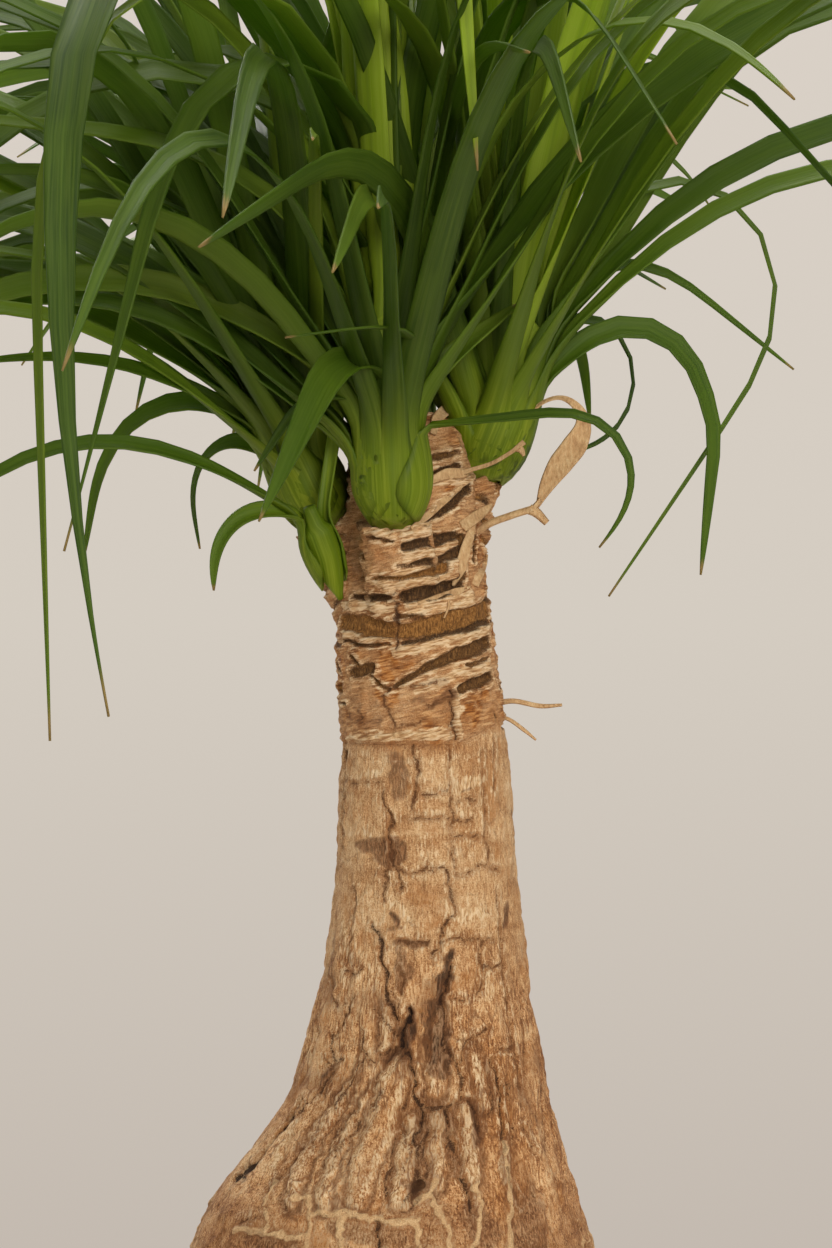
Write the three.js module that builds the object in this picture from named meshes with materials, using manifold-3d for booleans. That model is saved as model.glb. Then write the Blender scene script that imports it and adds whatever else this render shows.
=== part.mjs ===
// Potted ponytail palm: a caudex and trunk in a filled clay pot, with five heads of arching strap leaves.
// Millimetres, +Z up. The pot stands on z = 0 with its axis at x = 0, y = 0.
import * as THREE from 'three';
import Module from 'manifold-3d';

const wasm = await Module();
wasm.setup();

// Driving dimensions
const CLEARANCE = 0.3;

const POT_HEIGHT = 190;
const POT_TOP_RADIUS = 112;
const POT_FOOT_RADIUS = 79;
const POT_WALL = 7;
const POT_FLOOR = 9;
const POT_SIDES = 44;
const RIM_BAND_HEIGHT = 30;
const RIM_BAND_DEPTH = 5;
const DRAIN_HOLES = 4;
const DRAIN_RADIUS = 6;
const DRAIN_CIRCLE_RADIUS = 40;

const SOIL_LEVEL = 172;
const SOIL_MOUND = 4;
const SOIL_RELIEF = 1.1;
const SOIL_RINGS = 8;

const TRUNK_COLUMNS = 36;
const CAUDEX_BOTTOM = 138;
const TRUNK_TOP = 518;
const SCAR_FROM = 412;
const SCAR_SPACING = 10;
const SCAR_DEPTH = 1.5;
const PLATE_RELIEF = 1.5;
const FISSURE_DEPTH = 1.8;

const LEAF_STEPS = 24;
const LEAF_KEEL = 1.6;
const LEAF_ROOT_SHARE = 0.45;
const SEED = 4187;
const TRIES = 14;

// Height, radius and sideways place of the trunk's axis, from the caudex to the top
const TRUNK_OUTLINE = [
  [138, 36, 0], [150, 62, 0], [172, 75, -1], [190, 76, -1], [216, 74, 0], [245, 67, 0],
  [275, 56.5, 1], [305, 41.5, 7.5], [335, 34, 10], [380, 27.5, 10.5], [415, 26, 10],
  [450, 24, 7], [485, 21, 6], [510, 17, 6], [518, 10, 6],
];

// A head's core leaves the trunk at base and points along axis. No drawn leaf of the head hangs below skirt,
// nor into the clear space round the trunk.
const HEADS = {
  front_head: {
    base: [1, -24, 476], axis: [-0.05, -0.2, 0.98], radius: 11, height: 74, leaves: 32, skirt: 440,
  },
  right_head: {
    base: [21, 3, 486], axis: [0.38, 0, 0.92], radius: 12, height: 72, leaves: 34, skirt: 440,
  },
  left_head: {
    base: [-16, 0, 476], axis: [-0.42, 0, 0.9], radius: 11, height: 70, leaves: 34, skirt: 440,
  },
  back_head: {
    base: [4, 26, 480], axis: [0, 0.4, 0.92], radius: 12, height: 72, leaves: 48, skirt: 440,
  },
  side_shoot: {
    base: [-14, -17, 456], axis: [-0.3, -0.3, 0.9], radius: 5.5, height: 44, leaves: 5, skirt: 440,
  },
};

// The clear space round the trunk, under the drawn leaves: its half width, the height of its top near the
// trunk, and how steeply that rises to the right and to the left
const CLEAR_HALF_WIDTH = 150;
const CLEAR_TOP = 500;
const CLEAR_RISE_RIGHT = 1.5;
const CLEAR_RISE_LEFT = 0.45;

// Leaves placed one by one. Heading is 0 for +X and 90 for +Y, and turns by turn over the length; rise is the
// angle up at the root; droop is how far the leaf turns down between the shares of its length in bend; fold is
// a kink; twist rolls the blade; up is how high it leaves the core; taper shapes the tip. Degrees and mm.
const PLACED_LEAVES = {
  front_head: [
    {
      heading: 256, turn: -60, rise: 88, droop: 163, bend: [0.1, 0.72],
      length: 300, width: 13, twist: -20, taper: 1.3,
    },
    { heading: 200, rise: 74, droop: 72, bend: [0.05, 0.75], length: 200, width: 8, twist: -55 },
    { heading: 192, rise: 88, droop: 130, bend: [0.05, 0.65], length: 330, width: 11, twist: -45 },
    { heading: 246, rise: 62, droop: 108, bend: [0, 0.6], length: 115, width: 11, twist: -40, taper: 0.8 },
    { heading: 320, turn: -140, rise: 62, droop: 70, bend: [0, 0.8], length: 90, width: 5 },
    { heading: 205, rise: 60, droop: 115, bend: [0, 0.8], length: 60, width: 5, twist: -40 },
    { heading: 252, rise: 88, droop: 22, bend: [0.1, 0.9], length: 200, width: 18 },
    { heading: 320, rise: 85, droop: 60, bend: [0.3, 1], length: 230, width: 13 },
    { heading: 346, rise: 62, droop: 50, bend: [0, 0.75], length: 340, width: 15, twist: 60 },
    { heading: 10, rise: 58, droop: 20, bend: [0.1, 0.9], length: 60, width: 11, twist: 40 },
    { heading: 186, rise: 50, droop: 75, bend: [0, 0.75], length: 230, width: 9, twist: -70 },
    { heading: 345, rise: 6, droop: 135, bend: [0.4, 1], length: 108, width: 4, up: 34, twist: 50 },
    { heading: 288, rise: 88, droop: 165, bend: [0.4, 0.8], length: 290, width: 9 },
    {
      heading: 188, turn: 125, rise: 86, droop: 158, bend: [0.05, 0.7],
      length: 430, width: 17, taper: 1.2,
    },
    {
      heading: 238, turn: -20, rise: 86, droop: 178, bend: [0.05, 0.75],
      length: 410, width: 7, taper: 0.8,
    },
  ],
  right_head: [
    { heading: 5, rise: 58, droop: 80, bend: [0, 0.85], length: 330, width: 9, twist: 70 },
    { heading: 358, rise: 52, droop: 92, bend: [0.05, 0.9], length: 300, width: 7, twist: 60 },
    { heading: 340, rise: 76, droop: 125, bend: [0.3, 0.75], length: 230, width: 7, twist: -30 },
    { heading: 300, rise: 70, droop: 40, bend: [0.3, 1], length: 220, width: 13 },
    { heading: 10, rise: 66, droop: 80, bend: [0.2, 1], length: 330, width: 11, twist: 50 },
    { heading: 30, rise: 64, droop: 95, bend: [0.15, 0.75], length: 150, width: 5, twist: 60 },
    {
      heading: 12, rise: 46, droop: 120, bend: [0.2, 0.65],
      length: 150, width: 8, fold: [0.66, 22], twist: 70,
    },
    { heading: 60, rise: 45, droop: 120, bend: [0.4, 0.9], length: 100, width: 8, twist: 10 },
    { heading: 36, rise: 58, droop: 225, bend: [0.15, 1], length: 125, width: 5, twist: 50 },
    { heading: 20, rise: 66, droop: 192, bend: [0.15, 0.75], length: 275, width: 5, twist: 40 },
  ],
  left_head: [
    { heading: 175, rise: 55, droop: 40, bend: [0, 1], length: 200, width: 7, twist: -60 },
    { heading: 170, rise: 60, droop: 50, bend: [0.1, 1], length: 230, width: 7, twist: -50 },
    { heading: 165, rise: 70, droop: 60, bend: [0.1, 1], length: 240, width: 9, twist: -50 },
    { heading: 178, rise: 58, droop: 75, bend: [0.1, 0.6], length: 210, width: 10, twist: -55 },
    { heading: 188, rise: 45, droop: 50, bend: [0, 0.8], length: 230, width: 9, twist: -65 },
    { heading: 182, rise: 42, droop: 50, bend: [0, 1], length: 120, width: 6, twist: -50 },
    { heading: 165, rise: 42, droop: 122, bend: [0.1, 0.9], length: 112, width: 8, twist: -60 },
    { heading: 150, rise: 30, droop: 130, bend: [0.2, 0.9], length: 72, width: 7, twist: -50 },
  ],
  back_head: [],
  side_shoot: [
    { heading: 190, rise: 32, droop: 78, bend: [0.1, 0.9], length: 155, width: 6, up: 44, twist: -50 },
    { heading: 195, rise: 34, droop: 125, bend: [0, 1], length: 50, width: 6, up: 44, twist: -60 },
  ],
};

// A dead leaf that has come loose from the right head and hangs beside it
const DRY_LEAF = {
  start: [42.7, 0, 510.5], heading: 0, rise: 62, droop: 182, bend: [0.05, 0.6], length: 66, width: 8,
};

// Dead leaves and fibres that hang on the trunk. Each starts inside the wood.
const DRY_BITS = [
  { start: [20, -6, 478], heading: 352, rise: 22, droop: 60, bend: [0.5, 1], length: 34, width: 2.6 },
  { start: [24, -2, 428], heading: 355, rise: 3, droop: 6, bend: [0, 1], length: 32, width: 1.6 },
  { start: [24, -4, 423], heading: 352, rise: -6, droop: 30, bend: [0.4, 1], length: 22, width: 1.4 },
  { start: [4, 24, 470], heading: 70, rise: 10, droop: 95, bend: [0, 0.6], length: 62, width: 7 },
  { start: [-8, 8, 462], heading: 140, rise: 20, droop: 100, bend: [0, 0.6], length: 48, width: 6 },
];

function ease(t) {
  const c = Math.min(Math.max(t, 0), 1);
  return c * c * (3 - 2 * c);
}

function radians(degrees) {
  return (degrees * Math.PI) / 180;
}

// A small seeded generator, 0 to 1
function generator(seed) {
  let state = seed >>> 0;
  return () => {
    state = (state + 0x6d2b79f5) >>> 0;
    let t = state;
    t = Math.imul(t ^ (t >>> 15), t | 1);
    t ^= t + Math.imul(t ^ (t >>> 7), t | 61);
    return ((t ^ (t >>> 14)) >>> 0) / 4294967296;
  };
}

// A closed skin over rings of points. A ring of one point closes an end.
function skin(rings) {
  const points = [];
  const faces = [];
  const starts = rings.map((ring) => {
    const start = points.length / 3;
    ring.forEach((p) => points.push(p.x, p.y, p.z));
    return start;
  });
  for (let k = 0; k < rings.length - 1; k += 1) {
    const sides = Math.max(rings[k].length, rings[k + 1].length);
    for (let i = 0; i < sides; i += 1) {
      const j = (i + 1) % sides;
      const a = starts[k];
      const b = starts[k + 1];
      if (rings[k].length > 1) faces.push(a + i, a + j, rings[k + 1].length > 1 ? b + j : b);
      if (rings[k + 1].length > 1) faces.push(rings[k].length > 1 ? a + i : a, b + j, b + i);
    }
  }
  return new wasm.Manifold(new wasm.Mesh({
    numProp: 3,
    vertProperties: new Float32Array(points),
    triVerts: new Uint32Array(faces),
  }));
}

// Rings about the Z axis from [radius, height] pairs
function revolve(profile, sides) {
  return skin(profile.map(([radius, z]) => {
    if (radius === 0) return [new THREE.Vector3(0, 0, z)];
    return Array.from({ length: sides }, (_, i) => {
      const angle = (2 * Math.PI * i) / sides;
      return new THREE.Vector3(radius * Math.cos(angle), radius * Math.sin(angle), z);
    });
  }));
}

function toMesh(name, solid, material) {
  const { vertProperties, triVerts } = solid.getMesh();
  const geometry = new THREE.BufferGeometry();
  geometry.setAttribute('position', new THREE.BufferAttribute(new Float32Array(vertProperties), 3));
  geometry.setIndex(new THREE.BufferAttribute(new Uint32Array(triVerts), 1));
  geometry.computeVertexNormals();
  const mesh = new THREE.Mesh(geometry, material);
  mesh.name = name;
  return mesh;
}

// Pot

// Outside radius of the pot's body, below the rim band
function potRadius(z) {
  const underRim = POT_TOP_RADIUS - RIM_BAND_DEPTH;
  return THREE.MathUtils.mapLinear(z, 0, POT_HEIGHT, POT_FOOT_RADIUS, underRim);
}

function potSolid() {
  const bandBottom = POT_HEIGHT - RIM_BAND_HEIGHT;
  const inner = (z) => potRadius(z) - POT_WALL;
  let pot = revolve([
    [0, 0], [POT_FOOT_RADIUS - 2, 0], [potRadius(2), 2],
    [potRadius(bandBottom), bandBottom],
    [POT_TOP_RADIUS - 2, bandBottom + 1.5], [POT_TOP_RADIUS - 1, bandBottom + 4],
    [POT_TOP_RADIUS, POT_HEIGHT - 2], [POT_TOP_RADIUS - 2, POT_HEIGHT],
    [inner(POT_HEIGHT) + 2, POT_HEIGHT], [inner(POT_HEIGHT), POT_HEIGHT - 2],
    [inner(POT_FLOOR + 4), POT_FLOOR + 4], [inner(POT_FLOOR) - 4, POT_FLOOR], [0, POT_FLOOR],
  ], POT_SIDES);
  for (let i = 0; i < DRAIN_HOLES; i += 1) {
    const angle = (2 * Math.PI * (i + 0.5)) / DRAIN_HOLES;
    const hole = revolve([[0, -1], [DRAIN_RADIUS, -1], [DRAIN_RADIUS, POT_FLOOR + 1], [0, POT_FLOOR + 1]], 16);
    const x = DRAIN_CIRCLE_RADIUS * Math.cos(angle);
    const y = DRAIN_CIRCLE_RADIUS * Math.sin(angle);
    pot = pot.subtract(hole.translate([x, y, 0]));
  }
  return pot;
}

// Trunk

// Radius and sideways place at a height, as a smooth curve through the outline
function trunkSection(z) {
  const last = TRUNK_OUTLINE.length - 1;
  let k = TRUNK_OUTLINE.findIndex((row) => row[0] > z) - 1;
  if (k < 0) k = z < TRUNK_OUTLINE[0][0] ? 0 : last - 1;
  const rows = [k - 1, k, k + 1, k + 2].map((i) => TRUNK_OUTLINE[Math.min(Math.max(i, 0), last)]);
  const [before, here, next, after] = rows;
  const span = next[0] - here[0];
  const t = (z - here[0]) / span;
  return [1, 2].map((column) => {
    const slopeHere = (next[column] - before[column]) / (next[0] - before[0] || 1);
    const slopeNext = (after[column] - here[column]) / (after[0] - here[0] || 1);
    const h00 = 2 * t ** 3 - 3 * t ** 2 + 1;
    const h10 = t ** 3 - 2 * t ** 2 + t;
    const h01 = 3 * t ** 2 - 2 * t ** 3;
    const h11 = t ** 3 - t ** 2;
    return h00 * here[column] + h10 * span * slopeHere + h01 * next[column] + h11 * span * slopeNext;
  });
}

// How far the bark stands out at an angle and a height: plates with sunk lines on the caudex,
// upright fissures where it narrows, low blocks on the trunk, and stepped leaf scars below the crown.
function barkRelief(angle, z) {
  const showing = ease((z - SOIL_LEVEL) / 14);
  const caudex = 1 - ease((z - 255) / 50);
  const flare = ease((z - 235) / 40) * (1 - ease((z - 345) / 40));
  const blocks = ease((z - 320) / 40) * (1 - ease((z - SCAR_FROM) / 12));
  const scars = ease((z - SCAR_FROM) / 10);
  const across = Math.abs(Math.sin(5 * angle + 0.9 * Math.sin(z / 23)));
  const upright = Math.abs(Math.sin(z / 13 + 0.9 * Math.sin(3 * angle + 1)));
  const plates = PLATE_RELIEF * (Math.sqrt(across * upright) - 0.4);
  const fissure = Math.abs(Math.sin(4 * angle + 0.5 * Math.sin(z / 31 + 2)));
  const grooves = -FISSURE_DEPTH * (1 - ease(fissure / 0.45)) + 0.5;
  const low = 0.5 * Math.sin(3 * angle + z / 29) * Math.sin(z / 17 + 2 * Math.sin(angle));
  const slant = 3.5 * Math.cos(angle + 0.6) + 1.2 * Math.sin(3 * angle);
  const step = (((z - slant) / SCAR_SPACING) % 1 + 1) % 1;
  const steps = SCAR_DEPTH * (step - 0.5);
  return showing * (plates * caudex + grooves * flare + low * blocks + steps * scars);
}

function trunkHeights() {
  const heights = [];
  let z = CAUDEX_BOTTOM;
  while (z < TRUNK_TOP) {
    heights.push(z);
    if (z < SOIL_LEVEL - 6) z += 7;
    else if (z < SCAR_FROM - 8) z += 11.5;
    else z += SCAR_SPACING / 2;
  }
  return heights;
}

// The trunk's stem, grown all over by a margin
function stemSolid(margin) {
  const rings = trunkHeights().map((z) => {
    const [radius, shift] = trunkSection(z);
    return Array.from({ length: TRUNK_COLUMNS }, (_, i) => {
      const angle = (2 * Math.PI * i) / TRUNK_COLUMNS;
      const r = radius + barkRelief(angle, z) + margin;
      return new THREE.Vector3(shift + r * Math.cos(angle), r * Math.sin(angle), z);
    });
  });
  const bottom = new THREE.Vector3(0, 0, CAUDEX_BOTTOM - 3 - margin);
  const top = new THREE.Vector3(trunkSection(TRUNK_TOP)[1], 0, TRUNK_TOP + margin);
  return skin([[bottom], ...rings, [top]]);
}

// Vectors across an axis: the first level, the second so that level x second = axis
function acrossAxis(axis) {
  const level = new THREE.Vector3(-axis.y, axis.x, 0);
  if (level.length() < 1e-6) level.set(0, 1, 0);
  level.normalize();
  const second = new THREE.Vector3().crossVectors(axis, level);
  return [level, second];
}

// Rings about a straight line from a point along an axis, from [radius, distance] pairs
function turnedAbout(from, axis, profile, sides) {
  const [level, second] = acrossAxis(axis);
  return skin(profile.map(([radius, distance]) => {
    const centre = from.clone().addScaledVector(axis, distance);
    if (radius === 0) return [centre];
    return Array.from({ length: sides }, (_, i) => {
      const angle = (2 * Math.PI * i) / sides;
      return centre.clone().addScaledVector(level, radius * Math.cos(angle))
        .addScaledVector(second, radius * Math.sin(angle));
    });
  }));
}

// The short branch of wood that carries a head, ringed with leaf scars
function stubSolid(head) {
  const from = new THREE.Vector3(trunkSection(430)[1], 0, head.base[2] - 50);
  const to = new THREE.Vector3(...head.base).addScaledVector(head.direction, 6);
  const reach = to.clone().sub(from);
  const length = reach.length();
  const axis = reach.normalize();
  const endRadius = head.radius + 1.5;
  const rings = 3;
  const profile = [[0, 0]];
  for (let i = 0; i <= rings; i += 1) {
    const taper = THREE.MathUtils.lerp(endRadius + 3, endRadius, i / rings);
    profile.push([taper + (i % 2 ? 0.7 : -0.3), 4 + ((length - 6) * i) / rings]);
  }
  profile.push([endRadius - 3, length], [0, length]);
  return turnedAbout(from, axis, profile, 12);
}

// Heads and leaves

// The bud of wrapped leaf bases, grown by a margin
function coreSolid(head, margin) {
  const { radius, height } = head;
  const profile = [
    [0, -margin], [radius * 0.62 + margin, 1 - margin], [radius * 0.9 + margin, 6],
    [radius + margin, 15], [radius * 0.93 + margin, 28], [radius * 0.72 + margin, height * 0.6],
    [radius * 0.4 + margin, height * 0.82], [0, height + margin],
  ];
  return turnedAbout(new THREE.Vector3(...head.base), head.direction, profile, 14);
}

// Points along a leaf with the vectors across it, level and raised
function leafPath(leaf, start) {
  const { heading, rise, droop, bend, length, turn = 0, fold = [1, 0], twist = 0 } = leaf;
  const path = [];
  const place = start.clone();
  for (let i = 0; i < LEAF_STEPS; i += 1) {
    const s = (i + 0.5) / LEAF_STEPS;
    const around = radians(heading + turn * s);
    const bent = droop * ease((s - bend[0]) / (bend[1] - bend[0]));
    const up = radians(rise - bent - fold[1] * ease((s - fold[0]) / 0.08));
    const along = new THREE.Vector3(
      Math.cos(up) * Math.cos(around),
      Math.cos(up) * Math.sin(around),
      Math.sin(up),
    );
    const level = new THREE.Vector3(-Math.sin(around), Math.cos(around), 0);
    const raised = new THREE.Vector3().crossVectors(along, level);
    const roll = radians(twist * ease(s / 0.4));
    level.applyAxisAngle(along, roll);
    raised.applyAxisAngle(along, roll);
    path.push({ s: i / LEAF_STEPS, place: place.clone(), level, raised });
    place.addScaledVector(along, length / LEAF_STEPS);
  }
  path.push({ ...path[LEAF_STEPS - 1], s: 1, place: place.clone() });
  return path;
}

// Share of the leaf's width: narrow where it leaves the core, even, then tapering to the tip
function widthShare(s, taper = 0.6) {
  const root = THREE.MathUtils.lerp(LEAF_ROOT_SHARE, 1, ease(s / 0.15));
  return root * (s < 0.45 ? 1 : ((1 - s) / 0.55) ** taper);
}

// Steps between the leaf's sections: few on a nearly straight leaf, more on one that curls or folds
function leafStride(leaf) {
  if (leaf.fold || leaf.droop > 150) return 3;
  if (leaf.droop > 100) return 4;
  return leaf.droop > 60 ? 5 : 6;
}

// A leaf as a keeled blade, pointed inside the core and at its tip, grown all over by a margin
function bladeSolid(leaf, start, margin) {
  const path = leafPath(leaf, start);
  const stride = leafStride(leaf);
  const rings = [[path[0].place]];
  for (let i = stride; i < LEAF_STEPS; i += stride) {
    const { s, place, level, raised } = path[i];
    const width = leaf.width * widthShare(s, leaf.taper);
    const half = width / 2 + margin;
    const at = (side, up) => place.clone().addScaledVector(level, side).addScaledVector(raised, up);
    rings.push([at(half, LEAF_KEEL / 2 + margin), at(-half, LEAF_KEEL / 2 + margin), at(0, -LEAF_KEEL / 2 - margin)]);
  }
  rings.push([path[LEAF_STEPS].place]);
  return { solid: skin(rings), path };
}

// A leaf drawn by the rule: low outer leaves arch over, inner ones stand up. Number 0 is the outermost.
function drawnLeaf(head, number, attempt) {
  const random = generator(SEED + head.index * 7919 + number * 101 + attempt * 13);
  const inner = (number + 0.5) / head.leaves;
  const heading = number * 137.5 + head.index * 50 + (random() - 0.5) * (30 + 12 * attempt);
  const outward = Math.cos(radians(heading) - Math.atan2(head.direction.y, head.direction.x));
  const rise = 44 + 40 * inner + (random() - 0.5) * 16 - 4 * outward;
  const length = head.radius * (18 + (12 - 5 * inner) * random() + 3 * inner);
  const droop = (60 + 80 * random()) * (1 - 0.4 * inner);
  const from = 0.15 + 0.3 * random() * inner;
  return {
    heading,
    rise: Math.min(rise, 89),
    droop,
    bend: [from, from + 0.55 + 0.3 * random()],
    length,
    width: head.radius * (0.6 + 0.45 * random()),
    twist: (20 + 50 * random()) * (Math.cos(radians(heading)) > 0 ? 1 : -1),
    up: 14 + 26 * inner,
  };
}

function leafStart(head, leaf) {
  const up = (leaf.up ?? 18 + leaf.rise / 5) * (head.height / 72);
  return new THREE.Vector3(...head.base).addScaledVector(head.direction, up);
}

// Whether a drawn leaf hangs below its head's skirt or into the clear space round the trunk
function hangsLow(path, skirt) {
  return path.some(({ place: { x, y, z } }, i) => {
    if (z < skirt) return true;
    if (i < 4 || Math.abs(x) > CLEAR_HALF_WIDTH * (1 + y / 950)) return false;
    const rise = x > 0 ? CLEAR_RISE_RIGHT : CLEAR_RISE_LEFT;
    return z < CLEAR_TOP + rise * Math.max(Math.abs(x) - 50, 0);
  });
}

// Adds a leaf to its head unless it would touch another head or what stands below
function addLeaf(head, leaf, neighbours, drawn) {
  const start = leafStart(head, leaf);
  const guard = bladeSolid(leaf, start, CLEARANCE);
  if (drawn && hangsLow(guard.path, head.skirt)) return false;
  if (neighbours.some((other) => !guard.solid.intersect(other).isEmpty())) return false;
  head.solid = head.solid.add(bladeSolid(leaf, start, 0).solid);
  return true;
}

// The largest piece of a solid, with any gap that crossing leaves close off filled
function outermost(solid) {
  return solid.decompose().reduce((best, piece) => (piece.volume() > best.volume() ? piece : best));
}

function growHeads(heads, below) {
  const neighboursOf = (head) => [...below, ...heads.filter((other) => other !== head).map((h) => h.solid)];
  heads.forEach((head) => {
    PLACED_LEAVES[head.name].forEach((leaf) => addLeaf(head, leaf, neighboursOf(head), false));
  });
  const rounds = Math.max(...heads.map((head) => head.leaves));
  for (let number = 0; number < rounds; number += 1) {
    heads.filter((head) => number < head.leaves).forEach((head) => {
      for (let attempt = 0; attempt < TRIES; attempt += 1) {
        const leaf = drawnLeaf(head, number, attempt);
        if (addLeaf(head, leaf, neighboursOf(head), true)) break;
      }
    });
  }
  heads.forEach((head) => {
    head.solid = outermost(head.solid);
  });
}

// Soil

// Height of the soil's surface at a distance from the axis and an angle
function soilHeight(radius, angle) {
  const edge = potRadius(SOIL_LEVEL) - POT_WALL - CLEARANCE;
  const share = radius / edge;
  const rough = Math.sin(7 * angle + radius * 0.35) + Math.sin(11 * angle - radius * 0.61 + 2)
    + Math.sin(3 * angle + radius * 0.9);
  const inside = 1 - ease((share - 0.86) / 0.14);
  return SOIL_LEVEL + SOIL_MOUND * (1 - share * share) + (SOIL_RELIEF / 1.7) * rough * inside;
}

function soilSolid(pocket) {
  const edge = (z) => potRadius(z) - POT_WALL - CLEARANCE;
  const ring = (radius, heightAt) => Array.from({ length: POT_SIDES }, (_, i) => {
    const angle = (2 * Math.PI * i) / POT_SIDES;
    return new THREE.Vector3(radius * Math.cos(angle), radius * Math.sin(angle), heightAt(angle));
  });
  const bottom = POT_FLOOR + CLEARANCE;
  const rings = [
    [new THREE.Vector3(0, 0, bottom)],
    ring(edge(bottom) - 4.5, () => bottom),
    ring(edge(bottom + 4.5), () => bottom + 4.5),
    ring(edge(SOIL_LEVEL) - CLEARANCE, (angle) => soilHeight(edge(SOIL_LEVEL), angle)),
  ];
  for (let k = SOIL_RINGS - 1; k > 0; k -= 1) {
    const radius = (edge(SOIL_LEVEL) * k) / SOIL_RINGS;
    rings.push(ring(radius, (angle) => soilHeight(radius, angle)));
  }
  rings.push([new THREE.Vector3(0, 0, soilHeight(0, 0))]);
  return skin(rings).subtract(pocket);
}

// Materials
const terracotta = new THREE.MeshStandardMaterial({ color: 0xb0694a, roughness: 0.85 });
const potting = new THREE.MeshStandardMaterial({ color: 0x4a3628, roughness: 1 });
const bark = new THREE.MeshStandardMaterial({ color: 0xa98158, roughness: 0.9 });
const straw = new THREE.MeshStandardMaterial({ color: 0xa8895e, roughness: 0.9 });
const leafGreen = () => new THREE.MeshStandardMaterial({ color: 0x4d5f22, roughness: 0.5 });

function build() {
  const heads = Object.entries(HEADS).map(([name, head], index) => {
    const direction = new THREE.Vector3(...head.axis).normalize();
    return { name, ...head, index, direction };
  });
  let trunk = stemSolid(0);
  heads.forEach((head) => {
    trunk = trunk.add(stubSolid(head));
  });
  DRY_BITS.forEach((bit) => {
    trunk = trunk.add(bladeSolid(bit, new THREE.Vector3(...bit.start), 0).solid);
  });
  heads.forEach((head) => {
    head.solid = coreSolid(head, 0);
    trunk = trunk.subtract(coreSolid(head, CLEARANCE));
  });
  const dryLeaf = bladeSolid(DRY_LEAF, new THREE.Vector3(...DRY_LEAF.start), 0).solid;
  growHeads(heads, [trunk, dryLeaf]);

  const plant = new THREE.Group();
  plant.name = 'ponytail_palm';
  plant.add(toMesh('pot', potSolid(), terracotta));
  plant.add(toMesh('soil', soilSolid(stemSolid(CLEARANCE)), potting));
  plant.add(toMesh('trunk', trunk, bark));
  plant.add(toMesh('dry_leaf', dryLeaf, straw));
  heads.forEach((head) => plant.add(toMesh(head.name, head.solid, leafGreen())));
  return plant;
}

export default build();
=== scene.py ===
import math

import bpy
import numpy as np
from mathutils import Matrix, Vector, noise
from mathutils.bvhtree import BVHTree


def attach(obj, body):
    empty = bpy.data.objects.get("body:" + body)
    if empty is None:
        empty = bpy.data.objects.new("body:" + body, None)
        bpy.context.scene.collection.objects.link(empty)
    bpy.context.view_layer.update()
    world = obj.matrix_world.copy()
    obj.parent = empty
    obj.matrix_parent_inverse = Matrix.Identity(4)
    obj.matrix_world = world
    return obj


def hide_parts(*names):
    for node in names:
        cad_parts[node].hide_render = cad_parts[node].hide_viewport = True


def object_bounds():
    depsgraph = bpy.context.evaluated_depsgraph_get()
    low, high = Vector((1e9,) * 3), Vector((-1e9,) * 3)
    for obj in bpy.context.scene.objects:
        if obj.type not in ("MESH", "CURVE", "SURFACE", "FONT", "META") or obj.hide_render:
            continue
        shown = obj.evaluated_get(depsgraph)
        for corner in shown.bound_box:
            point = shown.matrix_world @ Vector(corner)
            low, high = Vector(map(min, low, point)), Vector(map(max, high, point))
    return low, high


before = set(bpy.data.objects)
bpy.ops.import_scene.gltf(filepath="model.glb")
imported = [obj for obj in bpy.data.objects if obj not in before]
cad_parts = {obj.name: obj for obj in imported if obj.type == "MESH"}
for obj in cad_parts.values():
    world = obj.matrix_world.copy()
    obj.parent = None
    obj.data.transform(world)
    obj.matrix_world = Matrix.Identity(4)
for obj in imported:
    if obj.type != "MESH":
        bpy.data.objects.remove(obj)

MM = 0.001
WAVE_REACH = 1.7
WAVE_SHIFT = 17.3
CAD_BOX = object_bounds()

# Camera and the photograph's frame: a pixel's size is at the trunk's axis, and a mark's pixel on its front
PHOTO_WIDTH = 832
PHOTO_HEIGHT = 1248
CAMERA_X = 7.4
CAMERA_AWAY = 950
CAMERA_HEIGHT = 452.9
LENS_MM = 88.4
SENSOR_MM = 36
PIXEL_MM = 0.31
TRUNK_FRONT = 30
MARK_PIXEL_MM = PIXEL_MM * (CAMERA_AWAY - TRUNK_FRONT) / CAMERA_AWAY
SEEN_HEIGHTS = (150, 508)
SIGHT_STEPS = 8
SIGHT_EDGE = 0.97

# Trunk: height, radius and sideways place of its axis
TRUNK_OUTLINE = np.array([
    [138, 36, 0], [150, 62, 0], [172, 75, -1], [190, 76, -1], [216, 74, 0], [245, 67, 0],
    [275, 56.5, 1], [305, 41.5, 7.5], [335, 34, 10], [380, 27.5, 10.5], [415, 26, 10],
    [450, 24, 7], [485, 21, 6], [510, 17, 6], [518, 10, 6],
])
LOWER_COLUMNS = 316
LOWER_ROWS = 304
BURIED_ROWS = 8
UPPER_COLUMNS = 248
UPPER_ROWS = 168
STUB_COLUMNS = 108
STUB_ROWS = 80
STUB_ROOT = 430
STUB_LENGTH = 50
FRONT_CROWDING = 0.3
SOIL_LINE = 168
SCAR_LINE = 412
SCAR_RINGS = 15
RING_STEP = 6.6
SCARS_TOP = 500
SCARS_START = 1.2
SCARS_END = 2 * math.pi - 1.15
TRUNK_TOP = 518
GROOVE_LAP = 0.4
GROOVE_TUCK = 0.5

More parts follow.
